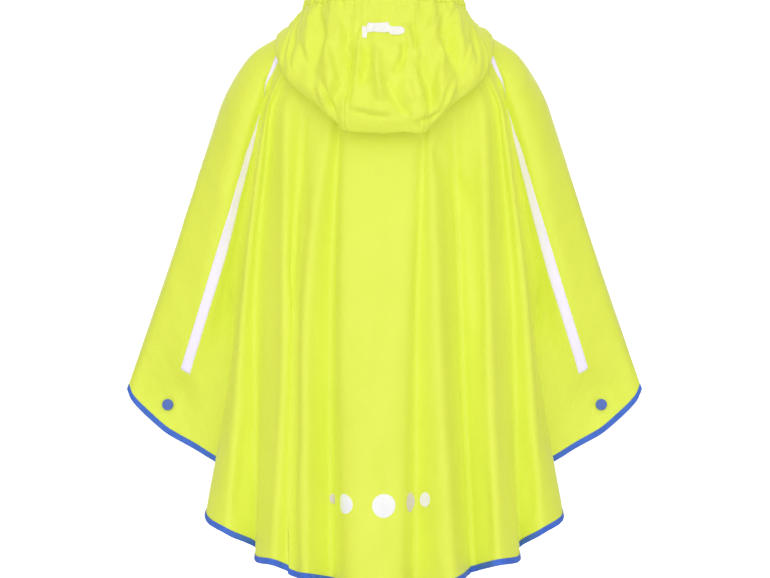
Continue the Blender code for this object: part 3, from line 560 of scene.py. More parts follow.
def soft_crumple():
    """Height of small uneven dents in handled cloth, and a mask of where they gather."""
    graph, given, result = group_graph("soft crumple", {"Dents per metre": 40.0, "Stretch": 0.45},
                                       ("Height", "Mask"))
    longer = graph.add("CombineXYZ", {0: 1.0, 1: given["Stretch"], 2: 1.0}).outputs[0]
    drawn = graph.add("VectorMath", {0: given["Place"], 1: longer}, operation="MULTIPLY").outputs[0]
    place = graph.scaled(drawn, given["Dents per metre"])
    broad = graph.noise(place, 1.0, 3.0, Roughness=0.5, Distortion=0.6)
    fine = graph.noise(place, 3.7, 2.0, Distortion=0.9)
    ridged = graph.maths("ABSOLUTE", graph.maths("SUBTRACT", fine, 0.5))
    graph.put(result["Height"], graph.maths("ADD", broad, graph.maths("MULTIPLY", ridged, 0.55)))
    graph.put(result["Mask"], broad)
    return graph.tree


def mottle():
    """Mask of the slow change of colour over a dyed or moulded surface."""
    graph, given, result = group_graph("mottle", {"Patches per metre": 12.0}, ("Mask",))
    slow = graph.noise(graph.scaled(given["Place"], given["Patches per metre"]), 1.0, 4.0, Roughness=0.6)
    graph.put(result["Mask"], graph.between(slow, 0.3, 0.7))
    return graph.tree


class Finish(Graph):
    """One finished material: a Principled shader, fed by its own nodes and the shared groups."""

    def __init__(self, name, groups, solid=False, **constants):
        self.material = bpy.data.materials.new(name)
        self.material.use_nodes = True
        super().__init__(self.material.node_tree)
        self.groups = groups
        self.shader = self.tree.nodes["Principled BSDF"].inputs
        for label, value in constants.items():
            self.put(self.shader[label.replace("_", " ")], value)
        if solid:
            self.place = self.add("TexCoord").outputs["Object"]
        else:
            self.place = self.add("Attribute", attribute_name="cloth_place").outputs["Vector"]

    def group(self, name, **inputs):
        node = self.add("Group", node_tree=self.groups[name])
        for label, value in {"Place": self.place, **inputs}.items():
            self.put(node.inputs[label.replace("_", " ")], value)
        return node.outputs

    def feed(self, label, value):
        self.put(self.shader[label], value)

    def bumps(self, *layers):
        """Feed the shader's normal from layers of height, distance and strength, the softest first."""
        normal = {}
        for height, distance, strength in layers:
            bump = self.add("Bump", {"Height": height, "Distance": distance, "Strength": strength, **normal})
            normal = {"Normal": bump.outputs["Normal"]}
        self.feed("Normal", bump.outputs["Normal"])


def yellow_cloth(groups):
    """Woven cloth with a thin soft-shining coat, and a painted glow that lifts the shade in its folds and
    keeps it yellow.
    """
    # The emission strength set here is a painted glow, not a lamp.
    cloth = Finish("coated_yellow_cloth", groups, Roughness=0.40, Specular_IOR_Level=0.32, Sheen_Weight=0.05,
                   Sheen_Roughness=0.45, Sheen_Tint=(0.95, 1.0, 0.6), Emission_Strength=0.15)
    threads = cloth.group("weave", Threads_per_metre=2400.0, Unevenness=0.6)
    dents = cloth.group("crumple", Dents_per_metre=34.0, Stretch=0.4)
    tone = cloth.group("mottle", Patches_per_metre=7.0)["Mask"]
    ground = cloth.blend(tone, (0.665, 0.805, 0.052), (0.700, 0.835, 0.062))
    faded = cloth.maths("MULTIPLY", threads["Thread mask"], 0.10)
    cloth.feed("Base Color", cloth.blend(faded, ground, (0.61, 0.74, 0.038)))
    # Painted glow: an even emission over the whole cloth that brightens its shaded folds.
    cloth.feed("Emission Color", cloth.blend(tone, (0.97, 0.76, 0.20), (1.0, 0.80, 0.24)))
    cloth.feed("Roughness", cloth.between(dents["Mask"], 0.3, 0.7, 0.36, 0.48))
    cloth.bumps((dents["Height"], 0.0016, 0.55), (threads["Height"], 0.00006, 0.5))
    return cloth.material


def blue_binding(groups):
    """Woven tape, with a painted highlight where its threads stand up."""
    tape = Finish("woven_blue_binding", groups, Roughness=0.50, Specular_IOR_Level=0.30, Sheen_Weight=0.05,
                  Sheen_Roughness=0.4, Sheen_Tint=(0.45, 0.60, 1.0))
    threads = tape.group("weave", Threads_per_metre=1500.0, Unevenness=0.4)["Height"]
    tone = tape.group("mottle", Patches_per_metre=60.0)["Mask"]
    ground = tape.blend(tone, (0.045, 0.135, 0.66), (0.075, 0.205, 0.84))
    # The base colour turns paler on the raised threads: a painted highlight.
    tape.feed("Base Color", tape.blend(tape.maths("MULTIPLY", threads, 0.35), ground, (0.11, 0.27, 0.92)))
    tape.feed("Roughness", tape.between(threads, 0.0, 1.0, 0.60, 0.42))
    tape.bumps((threads, 0.00018, 0.8))
    return tape.material


# Reflective films.
# columns: name, strength of the painted glow, dull colour, bright colour, colour of the painted glow
FILMS = (
    ("reflective_dots", 0.20, (0.74, 0.75, 0.76), (0.80, 0.80, 0.80), (1.0, 1.0, 1.0)),
    # A greyer copy of the dots' film with less painted glow: painted shade for the dots turned away in the
    # folds.
    ("dulled_reflective_dots", 0.06, (0.71, 0.63, 0.70), (0.78, 0.69, 0.77), (1.0, 0.95, 1.0)),
    ("reflective_tape", 0.30, (0.78, 0.77, 0.92), (0.84, 0.82, 0.97), (0.75, 0.58, 1.0)),
)
FILM_SPECK_SHADE = 0.8


def reflective_film(groups, name, glow, dull, bright, tint):
    """Film of tiny glass beads, with handling dents, a coat that has worn unevenly, and a painted glow that
    keeps it bright.
    """
    # The emission set here is a painted glow, not a lamp.
    film = Finish(name, groups, Roughness=0.42, Specular_IOR_Level=0.6, Coat_Roughness=0.25,
                  Emission_Color=tint, Emission_Strength=glow)
    beads = film.add("TexVoronoi", {"Vector": film.place, "Scale": 2600.0}, feature="F1").outputs["Distance"]
    dents = film.group("crumple", Dents_per_metre=90.0, Stretch=0.7)["Height"]
    tone = film.group("mottle", Patches_per_metre=40.0)["Mask"]
    speck = tuple(FILM_SPECK_SHADE * part for part in dull)
    ground = film.blend(tone, dull, bright)
    film.feed("Base Color", film.blend(film.between(beads, 0.0, 0.7, 0.0, 0.16), ground, speck))
    film.feed("Roughness", film.between(beads, 0.0, 0.7, 0.34, 0.5))
    film.feed("Coat Weight", film.between(tone, 0.0, 1.0, 0.10, 0.25))
    film.bumps((dents, 0.0005, 0.4), (beads, 0.00005, 0.5))
    return film.material


def white_label(groups):
    """Bare soft woven label, with a painted glow that keeps it white."""
    label = Finish("bare_white_label", groups, Roughness=0.5, Specular_IOR_Level=0.5, Emission_Strength=0.08)
    threads = label.group("weave", Threads_per_metre=2600.0, Unevenness=0.5)["Height"]
    dents = label.group("crumple", Dents_per_metre=120.0, Stretch=0.9)
    label.feed("Base Color", label.blend(dents["Mask"], (0.88, 0.86, 0.80), (0.93, 0.92, 0.88)))
    # Painted glow, near white, that brightens the whole label.
    label.feed("Emission Color", label.blend(dents["Mask"], (0.97, 0.95, 0.90), (1.0, 0.99, 0.96)))
    label.bumps((dents["Height"], 0.0007, 0.6), (threads, 0.00006, 0.5))
    return label.material


def blue_stud(groups):
    """Moulded plastic with a faint grain."""
    stud = Finish("moulded_blue_stud", groups, solid=True, Roughness=0.45, Specular_IOR_Level=0.35)
    tone = stud.group("mottle", Patches_per_metre=300.0)["Mask"]
    dents = stud.group("crumple", Dents_per_metre=900.0, Stretch=1.0)
    stud.feed("Base Color", stud.blend(tone, (0.085, 0.160, 0.57), (0.110, 0.195, 0.62)))
    stud.feed("Roughness", stud.between(dents["Mask"], 0.3, 0.7, 0.40, 0.52))
    stud.bumps((dents["Height"], 0.00008, 0.35))
    return stud.material


THREADS = {"yellow_thread": (0.70, 0.82, 0.06), "blue_thread": (0.10, 0.24, 0.74),
           "white_thread": (0.80, 0.80, 0.79)}
TWIST_SHADE = 0.78


def sewing_thread(groups, name, colour):
    """Twisted thread, darker between its plies."""
    thread = Finish(name, groups, Roughness=0.6, Sheen_Weight=0.2)
    twist = thread.add("TexWave", {"Vector": thread.place, "Scale": 420.0, "Distortion": 1.5},
                       bands_direction="X").outputs["Fac"]
    thread.feed("Base Color", thread.blend(twist, tuple(TWIST_SHADE * part for part in colour), colour))
    thread.bumps((twist, 0.0001, 0.6))
    return thread.material


def pale_floor(groups):
    """Plain floor, which the camera sees a little brighter than the lamps light it."""
    floor = Finish("pale_floor", groups, solid=True, Roughness=0.9, Specular_IOR_Level=0.2,
                   Emission_Color=(1.0, 1.0, 1.0))
    tone = floor.group("mottle", Patches_per_metre=0.8)["Mask"]
    floor.feed("Base Color", floor.blend(tone, (0.80, 0.80, 0.795), (0.82, 0.82, 0.82)))
    seen = floor.add("LightPath").outputs["Is Camera Ray"]
    floor.feed("Emission Strength", floor.maths("MULTIPLY", seen, 0.52))
    return floor.material


def make_materials():
    """Every finish of the poncho and the floor below it."""
    groups = {"weave": plain_weave(), "crumple": soft_crumple(), "mottle": mottle()}
    finishes = {"cloth": yellow_cloth(groups), "binding": blue_binding(groups)}
    for name, *values in FILMS:
        finishes[name] = reflective_film(groups, name, *values)
    finishes["label"], finishes["stud"] = white_label(groups), blue_stud(groups)
    for name, colour in THREADS.items():
        finishes[name] = sewing_thread(groups, name, colour)
    finishes["floor"] = pale_floor(groups)
    return finishes


# ------------------------------------------------------------------ creases of the panels
# Fine creases over the main folds. Each is drawn on the hanging cloth by places x z, in millimetres.
# columns: depth (ridge above zero), half width, places
BACK_CREASES = (
    (1.6, 13, (-20, -292, -23, -400, -18, -508)),
    (-1.2, 12, (8, -142, 1, -249, 8, -357)),
    (-3.4, 10, (50, -113, 63, -138, 80, -166, 92, -200)),
    (1.8, 14, (-163, -90, -179, -180, -203, -282, -220, -349)),
    (1.8, 14, (164, -81, 182, -169, 206, -270, 222, -344)),
    (-1.6, 14, (-195, -145, -215, -225, -242, -304)),
    (-1.6, 14, (195, -145, 215, -225, 242, -304)),
    (1.4, 12, (-205, -373, -216, -419, -222, -448)),
    (-1.4, 12, (-238, -327, -257, -362, -273, -398)),
    (1.4, 12, (206, -375, 218, -419, 222, -448)),
    (-1.4, 12, (236, -327, 257, -364, 275, -398)),
    (-2.4, 9, (-152, -424, -158, -478, -161, -544)),
    (2.0, 7, (-87, -446, -91, -511, -90, -585)),
    (-2.4, 9, (155, -446, 161, -500, 161, -544)),
    (-2.0, 11, (0, -443, 3, -507, 8, -588)),
    (2.2, 8, (49, -477, 53, -531, 60, -590)),
    (-2.2, 8, (108, -477, 112, -532, 111, -581)),
    (-1.8, 8, (-98, -96, -92, -140, -88, -190)),
    (1.6, 8, (-74, -110, -78, -160, -80, -210)),
    (-4.0, 12, (84, -112, 93, -180, 99, -280, 103, -360)),
    (-1.6, 9, (100, -250, 104, -330, 108, -420)),
)
FRONT_CREASES = (
    (-2.8, 9, (-150, -70, -164, -140, -182, -220)),
    (1.6, 13, (-176, -90, -198, -170, -222, -260)),
    (-1.4, 13, (-194, -150, -214, -230, -236, -320)),
    (1.4, 12, (-190, -320, -210, -380, -232, -428)),
    (2.4, 9, (-40, -60, -42, -150, -40, -260)),
    (2.0, 10, (10, -50, 16, -130, 22, -220)),
    (-2.8, 9, (150, -70, 166, -150, 184, -230)),
    (1.6, 13, (178, -94, 200, -176, 224, -262)),
    (-1.4, 13, (196, -150, 216, -240, 238, -330)),
    (1.4, 12, (190, -330, 208, -384, 230, -430)),
    (-1.8, 10, (-30, -40, -60, -70, -84, -120)),
    (-1.8, 10, (34, -44, 60, -76, 82, -130)),
    (-1.8, 8, (-90, -420, -94, -490, -98, -560)),
    (1.8, 8, (-8, -420, -6, -500, -4, -590)),
    (-1.8, 8, (60, -430, 62, -500, 66, -585)),
)
# How the cloth sharpens along its own folds.
# columns: fold, side, depth (ridge above zero), half width, start and end as shares of the length
BACK_ACCENTS = (
    ("gully", "left", 6.5, 13, 0.17, 0.62),
    ("first crest", "left", 2.2, 8, 0.20, 0.90),
    ("second valley", "left", -1.5, 6.0, 0.15, 0.95),
    ("second crest", "left", 2.6, 7, 0.12, 1.0),
    ("third valley", "left", -3.5, 6.0, 0.16, 0.50),
    ("third valley", "left", 5.5, 9.0, 0.46, 1.1),
    ("third crest", "left", 2.4, 8, 0.22, 0.92),
    ("fourth valley", "left", -2.4, 6.0, 0.22, 1.0),
    ("panel left", "left", 1.6, 10, 0.24, 0.70),
    ("fifth valley", "right", -1.0, 7.0, 0.22, 1.0),
    ("fifth crest", "right", 1.8, 13, 0.22, 1.0),
    ("sixth valley", "right", -5.5, 4.4, 0.16, 1.0),
    ("second crest", "right", 2.6, 7, 0.12, 1.0),
    ("second valley", "right", -1.5, 6.0, 0.15, 0.95),
    ("first crest", "right", 2.4, 8, 0.16, 0.90),
    ("gully", "right", 6.5, 13, 0.17, 0.62),
    ("wing inner", "left", -3.0, 3.6, 0.06, 0.30),
    ("wing inner", "right", -3.0, 3.6, 0.06, 0.30),
)
FRONT_ACCENTS = (
    ("gully", "left", 5.0, 13, 0.17, 0.60),
    ("first crest", "left", 2.6, 8, 0.20, 0.90),
    ("second valley", "left", -4.0, 8, 0.15, 0.95),
    ("left crest", "left", 3.4, 7, 0.14, 1.0),
    ("left valley", "left", -4.4, 9, 0.16, 0.85),
    ("middle crest", "left", 3.6, 6, 0.20, 1.0),
    ("middle valley", "left", -4.4, 8, 0.14, 0.92),
    ("right crest", "right", 3.8, 6, 0.22, 1.0),
    ("right valley", "right", -4.4, 9, 0.16, 0.90),
    ("outer crest", "right", 3.4, 7, 0.14, 1.0),
    ("second valley", "right", -4.0, 8, 0.15, 0.95),
    ("first crest", "right", 2.6, 8, 0.20, 0.90),
    ("gully", "right", 5.0, 13, 0.17, 0.60),
)
# Creases of the hood's outside, drawn the same way.
HOOD_DRAWN = (
    (3.4, 5.8, (-81, 23, -83, -1, -88, -28)),
    (-4.8, 6.5, (-65, 19, -72, -16, -83, -51)),
    (3.8, 4.9, (-46, 19, -56, -8, -71, -38)),
    (-3.2, 4.3, (-35, 6, -48, -14, -60, -32)),
    (3.6, 7.2, (-53, -41, -57, -56, -61, -71)),
    (-3.8, 3.8, (-47, -54, -55, -69, -64, -83)),
    (-4.8, 5.2, (-36, -10, -39, -43, -42, -80)),
    (2.3, 3.2, (-27, -8, -30, -30, -31, -51)),
    (-4.6, 5.2, (-16, -10, -20, -34, -25, -60)),
    (3.8, 4.3, (-9, -12, -7, -46, -3, -80)),
    (-4.2, 4.3, (-1, -43, 7, -67, 19, -83, 30, -92)),
    (2.7, 7.2, (1, -5, 11, -17, 21, -30)),
    (-3.6, 3.5, (24, -8, 20, -30, 11, -45)),
    (2.3, 7.2, (21, -51, 26, -65, 31, -78)),
    (-4.8, 5.5, (38, -19, 46, -51, 56, -80)),
    (3.4, 5.8, (55, -47, 60, -62, 65, -76)),
    (3.8, 4.9, (46, 19, 56, -10, 70, -38)),
    (-4.8, 6.5, (61, 23, 73, -12, 88, -51)),
    (3.4, 4.9, (76, 25, 83, -3, 90, -32)),
    (2.5, 3.2, (-41, -77, -23, -83, 8, -89)),
    (-2.5, 2.9, (-38, -84, -19, -90, 10, -94)),
    (-2.9, 2.9, (34, -99, 47, -96, 61, -91)),
    (-2.3, 2.3, (36, -96, 36, -104, 37, -112)),
    (-2.7, 4.3, (-98, 12, -104, -12, -107, -34)),
    (-2.7, 4.3, (95, 14, 102, -10, 106, -32)),
    (2.1, 4.3, (21, 12, 27, -3, 31, -16)),
    (-2.5, 3.5, (30, 17, 35, -1, 36, -19)),
    (-2.5, 3.5, (-26, 17, -31, 3, -34, -10)),
    (2.1, 3.5, (-57, 19, -64, -1, -68, -19)),
    (1.9, 4.9, (-76, -56, -69, -69, -60, -82)),
    (1.9, 4.9, (80, -56, 71, -71, 62, -84)),
    (2.1, 4.3, (32, -30, 37, -56, 43, -78)),
)


# How much a point's depth counts beside its distance from the place that is looked for.
DEPTH_SHARE = 0.12
# A drawn crease: how far it wanders, how much its two sides differ, how much it swells, over which
# share of its length each end fades, how many half widths it reaches, and its steps between two places.
CREASE_WANDER, CREASE_LEAN, CREASE_SWELL, CREASE_FADE = 0.7 * MM, 0.25, 0.25, 0.22
CREASE_REACH, CREASE_STEPS = 3.0, 6
# How a seam draws the cloth in: pitch and height of its small waves, and how far they reach, in mm.
SIDE_PUCKER, HEM_PUCKER, TAPE_PUCKER = (9, 0.45, 14), (10, 0.40, 12), (8, 0.25, 7)
# The small star of folds round a press stud, and how far from it the cloth lies flat, the star starts,
# and the star has faded.
STAR_POINTS, STAR_HEIGHT, FLAT_END, STAR_START, STAR_REACH = 7, 0.15 * MM, 5 * MM, 7 * MM, 14 * MM


def outermost(grid, facing, x, z):
    """Column and row of the cloth that shows at a place x z of the front or back view."""
    away = np.hypot(grid[..., 0] - x * MM, grid[..., 2] - z * MM)
    return np.unravel_index(np.argmin(away - DEPTH_SHARE * facing * grid[..., 1]), away.shape)


def crease_line(cloth, facing, places, first_row):
    """A drawn crease as a smooth line of lengths across and down the cloth."""
    spots = []
    for x, z in zip(places[::2], places[1::2]):
        column, row = outermost(cloth.grid[:, first_row:], facing, x, z)
        spots.append((cloth.across[column, row + first_row], cloth.down[column, row + first_row]))
    marks = np.linspace(0, len(spots) - 1, CREASE_STEPS * (len(spots) - 1) + 1)
    return smooth(np.arange(len(spots)), spots, marks)


def along_line(spots, line):
    """Distance of each spot from a line, the side it lies on, and its share of the line's length."""
    steps = np.diff(line, axis=0)
    sizes = np.linalg.norm(steps, axis=1)
    start = lengths_along(line)
    away = spots[:, None] - line[None, :-1]
    part = np.clip(np.sum(away * steps, axis=2) / sizes ** 2, 0, 1)
    away -= part[..., None] * steps
    distance = np.linalg.norm(away, axis=2)
    best = np.argmin(distance, axis=1)
    pick = np.arange(len(best))
    side = np.sign(steps[best, 0] * away[pick, best, 1] - steps[best, 1] * away[pick, best, 0])
    share = (start[best] + part[pick, best] * sizes[best]) / start[-1]
    return distance[pick, best], side, share


def crease_lift(cloth, facing, creases, seed, first_row=0):
    """Sum of the drawn creases: soft troughs and ridges that wander, swell and fade at their ends."""
    lift = np.zeros(cloth.down.shape)
    wander = CREASE_WANDER * unevenness(cloth.across / 0.03, cloth.down / 0.04, seed)
    for number, (depth, half_width, places) in enumerate(creases):
        line = crease_line(cloth, facing, places, first_row)
        reach = CREASE_REACH * half_width * MM
        near = np.ones(lift.shape, bool)
        near[:, :first_row] = False
        for axis, field in enumerate((cloth.across, cloth.down)):
            near &= (field > line[:, axis].min() - reach) & (field < line[:, axis].max() + reach)
        spots = np.stack((cloth.across[near] + wander[near], cloth.down[near]), axis=-1)
        distance, side, share = along_line(spots, line)
        off = distance * (1 + CREASE_LEAN * math.sin(number * 2.4) * side) / (half_width * MM)
        swell = 1 + CREASE_SWELL * unevenness(share * 4.0, np.full_like(share, number * 1.7), seed + 1)
        fade = eased(share / CREASE_FADE) * eased((1 - share) / CREASE_FADE)
        lift[near] += depth * MM * np.exp(-off * off) * fade * swell
    return lift


def accent_lift(drape, across, cloth, accents, seed):
    """Ridges made fuller and valleys deeper along the folds' own rows."""
    lift = np.zeros(cloth.down.shape)
    share = cloth.down / cloth.down[:, -1:]
    for number, (fold, side, depth, half_width, start, end) in enumerate(accents):
        index = drape.names.index(fold) if side == "left" else -1 - drape.names[::-1].index(fold)
        column = int(np.argmin(np.abs(across - drape.knots[index])))
        off = (cloth.across - cloth.across[column]) / (half_width * MM)
        off = off * (1 + 0.2 * math.sin(number * 1.9) * np.sign(off))
        inside = (share - start) / (end - start)
        fade = eased(inside / 0.2) * eased((1.12 - inside) / 0.25)
        swell = 1 + 0.22 * unevenness(share * 5.0, np.full_like(share, number * 1.3), seed)
        lift += depth * MM * np.exp(-off * off) * fade * swell
    return lift


def drape_crumple(cloth, seed):
    """Uneven surface of thin coated cloth: long soft dents down the length and a few flatter facets."""
    across, down = cloth.across, cloth.down
    long_dents = unevenness(across / 0.030, down / 0.120, seed)
    dents = unevenness(across / 0.014 + 0.4 * long_dents, down / 0.045, seed + 1)
    facets = np.abs(unevenness(across / 0.022, down / 0.060, seed + 2)) - 0.35
    return (0.55 * long_dents + 0.25 * dents + 0.40 * facets) * MM


def hood_crumple(cloth, seed):
    """Broken facets of bunched cloth, in two sizes."""
    across, down = cloth.across, cloth.down
    bend = 0.5 * unevenness(across / 0.02, down / 0.03, seed)
    large = np.abs(unevenness(across / 0.014 + bend, down / 0.024 - bend, seed + 1)) - 0.35
    small = np.abs(unevenness(across / 0.008 - bend, down / 0.013 + bend, seed + 2)) - 0.35
    soft = unevenness(across / 0.018, down / 0.040, seed + 3)
    return (1.3 * large - 0.55 * small + 0.5 * soft) * MM


def seam_pucker(distance, along, pucker, seed):
    """Small waves where a seam or a tape draws the cloth in, highest at the seam."""
    pitch, height, reach = (size * MM for size in pucker)
    phase = 2 * math.pi * (along / pitch + 0.8 * unevenness(along / 0.03, distance / 0.05, seed))
    size = 0.6 + 0.5 * unevenness(along / 0.022, distance / 0.03, seed + 1)
    return height * np.sin(phase) * size * np.exp(-distance / reach)


def round_stud(lift, grid, side, seed):
    """The lift of the cloth, flattened under a press stud, with a small star of folds round it."""
    beside, above, near = from_stud(grid, side)
    turn = np.arctan2(above, beside)
    star = STAR_HEIGHT * np.sin(turn * STAR_POINTS + 1.3 * np.sin(turn * 2 + seed))
    flat = lift * eased((near - FLAT_END) / (9 * MM))
    return flat + star * eased((near - STAR_START) / (5 * MM)) * np.exp(-near / STAR_REACH)


def panel_cloth(drape, creases, accents, seed, tapes=()):
    """One panel with all its creases, dents and puckers, and its places across the folds."""
    across = drape.across(PANEL_STEP)
    grid = drape.points(across, np.linspace(0, 1, PANEL_ROWS))
    normals = drape.facing * normals_of(grid)
    grid[[0, -1], :, 1] = drape.facing * SEAM_GAP
    square_edges(normals, 1)
    cloth = Cloth(grid, normals)
    lift = crease_lift(cloth, drape.facing, creases, seed)
    lift += accent_lift(drape, across, cloth, accents, seed + 5)
    lift += drape_crumple(cloth, seed + 10)
    from_edge = np.minimum(cloth.across - cloth.across[0], cloth.across[-1] - cloth.across)
    from_hem = cloth.down[:, -1:] - cloth.down
    lift += seam_pucker(from_edge, cloth.down, SIDE_PUCKER, seed + 20)
    lift += seam_pucker(from_hem, cloth.across, HEM_PUCKER, seed + 30)
    for place in tapes:
        column = np.argmin(np.abs(across - place))
        beside = np.abs(cloth.across - cloth.across[column])
        lift += seam_pucker(beside, cloth.down, TAPE_PUCKER, seed + 40)
    lift *= eased((from_edge - 1.0 * MM) / (8 * MM)) * eased(cloth.down / (12 * MM))
    for side in (-1, 1):
        lift = round_stud(lift, grid, side, seed)
    return cloth.raised(lift), across


# ------------------------------------------------------------------ hood
def hood_rows():
    """The hood's profiles all the way round, from centre front by the left side to centre front."""
    left = [list(profile) for profile in HOOD_PROFILES]
    right = []
    for profile in left[::-1]:
        row = list(profile)
        row[0] = -row[0]
        for column in range(1, 16, 3):
            row[column] = -row[column]
        if RIGHT_CORNER[0] <= row[0] <= RIGHT_CORNER[1]:
            row[12] -= RIGHT_CORNER_DROP
            row[15] -= RIGHT_CORNER_DROP
        right.append(row)
    return left + right


def clear_of(surface, normals, place, clearance):
    """The place itself, or lifted along the surface's normal until it is clear of the surface."""
    nearest = np.unravel_index(np.argmin(np.linalg.norm(surface - place, axis=2)), surface.shape[:2])
    height = np.dot(place - surface[nearest], normals[nearest])
    return place + normals[nearest] * max(0.0, clearance - height)


def hood_stations(profile, back, front):
    """Places of the hood's cloth at one angle: seam, turn, along the panel, bottom, roll, belly, band."""
    angle = profile[0]
    _, band, belly, roll, bottom = np.array(profile[1:16], float).reshape(5, 3) * MM
    drape, own_angle = back, angle
    if abs(angle) > 90:
        drape, own_angle = front, math.copysign(180 - abs(angle), angle)
    seam = np.array(ring_point(NECK_RING, own_angle, drape.facing)) * MM
    rise = float(np.interp(abs(angle), TURN_ANGLES, TURN_HEIGHTS)) * MM
    turn = seam + np.array((0.0, 0.0, rise)) + TURN_LEAN * (band - seam) * (1, 1, 0)
    here = drape.at_angle(own_angle)
    ends = max(0.0, here - YOKE_SPREAD), min(drape.knots[-1], here + YOKE_SPREAD)
    yoke = drape.points(np.linspace(*ends, YOKE_COLUMNS), np.linspace(0, YOKE_END, YOKE_ROWS))
    up_normals = drape.facing * normals_of(yoke)
    tucks = [clear_of(yoke, up_normals, seam + (bottom - seam) * share, HOOD_CLEARANCE) for share in TUCKS]
    bottom = clear_of(yoke, up_normals, bottom, HOOD_CLEARANCE)
    roll = clear_of(yoke, up_normals, roll, HOOD_CLEARANCE + ROLL_CLEARANCE)
    return np.array((seam + (0.0, 0.0, HOOD_START), turn, *tucks, bottom, roll, belly, band))


def search_tree(points):
    """Tree that finds the nearest of some points."""
    tree = kdtree.KDTree(len(points))
    for number, point in enumerate(points):
        tree.insert(Vector(point), number)
    tree.balance()
    return tree


def settle(grid, back, front):
    """Lift the hood's cloth wherever it would sink into the shoulders below it."""
    surfaces, directions = [], []
    for drape in (back, front):
        surface = drape.points(drape.across(YOKE_STEP), np.linspace(0, YOKE_END, YOKE_ROWS))
        surfaces.append(surface.reshape(-1, 3))
        directions.append(drape.facing * normals_of(surface).reshape(-1, 3))
    surfaces, directions = np.concatenate(surfaces), np.concatenate(directions)
    tree = search_tree(surfaces)
    for column in range(grid.shape[0]):
        for row in range(int(grid.shape[1] * SETTLED_FROM), grid.shape[1]):
            nearest = tree.find(Vector(grid[column, row]))[1]
            height = np.dot(grid[column, row] - surfaces[nearest], directions[nearest])
            if height < HOOD_CLEARANCE:
                grid[column, row] += directions[nearest] * (HOOD_CLEARANCE - height)


def hood_surface(back, front):
    """The smooth hood below its band, its rim line, and the angle and share down of its columns and rows."""
    profiles = hood_rows()
    angles = np.array([profile[0] for profile in profiles], float)
    knots = np.arange(len(profiles), dtype=float)
    steps = [SIDE_STEPS if abs(angle) < 100 else FAR_STEPS for angle in angles[:-1]]
    steps[:2] = steps[-2:] = [FRONT_STEPS, FRONT_STEPS]
    places = [0.0]
    for index, count in enumerate(steps):
        places.extend(index + np.arange(1, count + 1) / count)
    stations = np.array([hood_stations(profile, back, front) for profile in profiles])
    rims = np.array([profile[1:4] for profile in profiles], float) * MM
    around = np.swapaxes(smooth(knots, stations, places), 0, 1)
    down = np.unique(np.concatenate([np.linspace(*part) for part in HOOD_ROWS]))
    grid = np.swapaxes(smooth(HOOD_STATIONS, around, down), 0, 1)
    settle(grid, back, front)
    normals = normals_of(grid)
    middle = len(places) // 2
    if np.dot(normals[middle, -2], grid[middle, -2] - np.array(POUCH_MIDDLE) * MM) < 0:
        normals = -normals
    square_edges(normals, 0)
    return Cloth(grid, normals), smooth(knots, rims, places), smooth(knots, angles, places), down


def main_hood_creases(angles, down):
    """The large creases below the band, at each angle and share of the hood's length."""
    lift = np.zeros((len(angles), len(down)))
    for at_band, at_roll, depth, half_width, start, end in HOOD_CREASES:
        line = at_roll + (at_band - at_roll) * np.clip((down - HOOD_BOTTOM) / (1 - HOOD_BOTTOM), 0, 1)
        inside = np.clip((down - start) / (end - start), 0, 1)
        fade = np.clip(4 * inside * (CREASE_RUN_OUT - inside), 0, 1)
        lift += depth * MM * np.exp(-((angles[:, None] - line) / half_width) ** 2) * fade
    return lift


# Smaller creases of the hood.
# columns: angle and share of the hood's length at the start, the same at the end, depth, half width mm
HOOD_FINE = (
    (-12, 0.99, -13, 0.90, 1.4, 2.2),
    (-2, 0.99, -3, 0.90, -1.4, 2.0),
    (6, 0.99, 7, 0.92, 1.4, 2.2),
    (-76, 0.96, -84, 0.66, 2.4, 3.6),
    (76, 0.96, 84, 0.66, -2.4, 3.6),
    (-90, 0.96, -96, 0.66, -2.2, 3.2),
    (92, 0.96, 98, 0.66, 2.2, 3.2),
    (-100, 0.95, -110, 0.70, -2.0, 4.0),
    (100, 0.95, 108, 0.70, 2.0, 4.0),
    (-128, 0.96, -132, 0.66, 1.6, 4.0),
    (130, 0.96, 126, 0.66, -1.6, 4.0),
    (-152, 0.96, -150, 0.66, -1.4, 4.0),
    (158, 0.96, 154, 0.66, 1.4, 4.0),
)
# Radius at which their angles are read as lengths.
HOOD_RADIUS = 95 * MM


def fine_hood_creases(angles, down):
    """The smaller creases, at each angle and share of the hood's length."""
    lift = np.zeros((len(angles), len(down)))
    for angle_a, down_a, angle_b, down_b, depth, half_width in HOOD_FINE:
        share = (down_a - down[None, :]) / (down_a - down_b)
        line = angle_a + (angle_b - angle_a) * np.clip(share, 0, 1)
        off = np.radians(angles[:, None] - line) * HOOD_RADIUS / (half_width * MM)
        fade = eased(share / 0.2 + 0.4) * eased((1 - share) / 0.35)
        lift += depth * MM / (1 + off * off) ** 1.5 * fade
    return lift


# The gathers: how many, how long, and the length over which their mean is taken away again.
GATHERS = 84
GATHER_LENGTHS, GATHER_CHANCES = (8.0, 14.0, 22.0, 34.0), (0.3, 0.3, 0.25, 0.15)
GATHER_MEAN_LENGTH, GATHER_FALL = 14 * MM, 1.4


def gather_lines(even_places, seed=5):
    """Height of each gather at each place round the face opening, and the gathers' lengths."""
    chance = np.random.default_rng(seed)
    centres = (np.arange(GATHERS) + chance.uniform(-0.28, 0.28, GATHERS)) / GATHERS
    heights = chance.uniform(0.55, 1.35, GATHERS) * MM
    widths = chance.uniform(0.20, 0.34, GATHERS) / GATHERS
    lengths = chance.choice(GATHER_LENGTHS, GATHERS, p=GATHER_CHANCES) * MM
    off = np.abs(even_places[:, None] - centres[None, :])
    off = np.minimum(off, 1 - off) / widths[None, :]
    return np.exp(-off ** 2) * heights[None, :], lengths


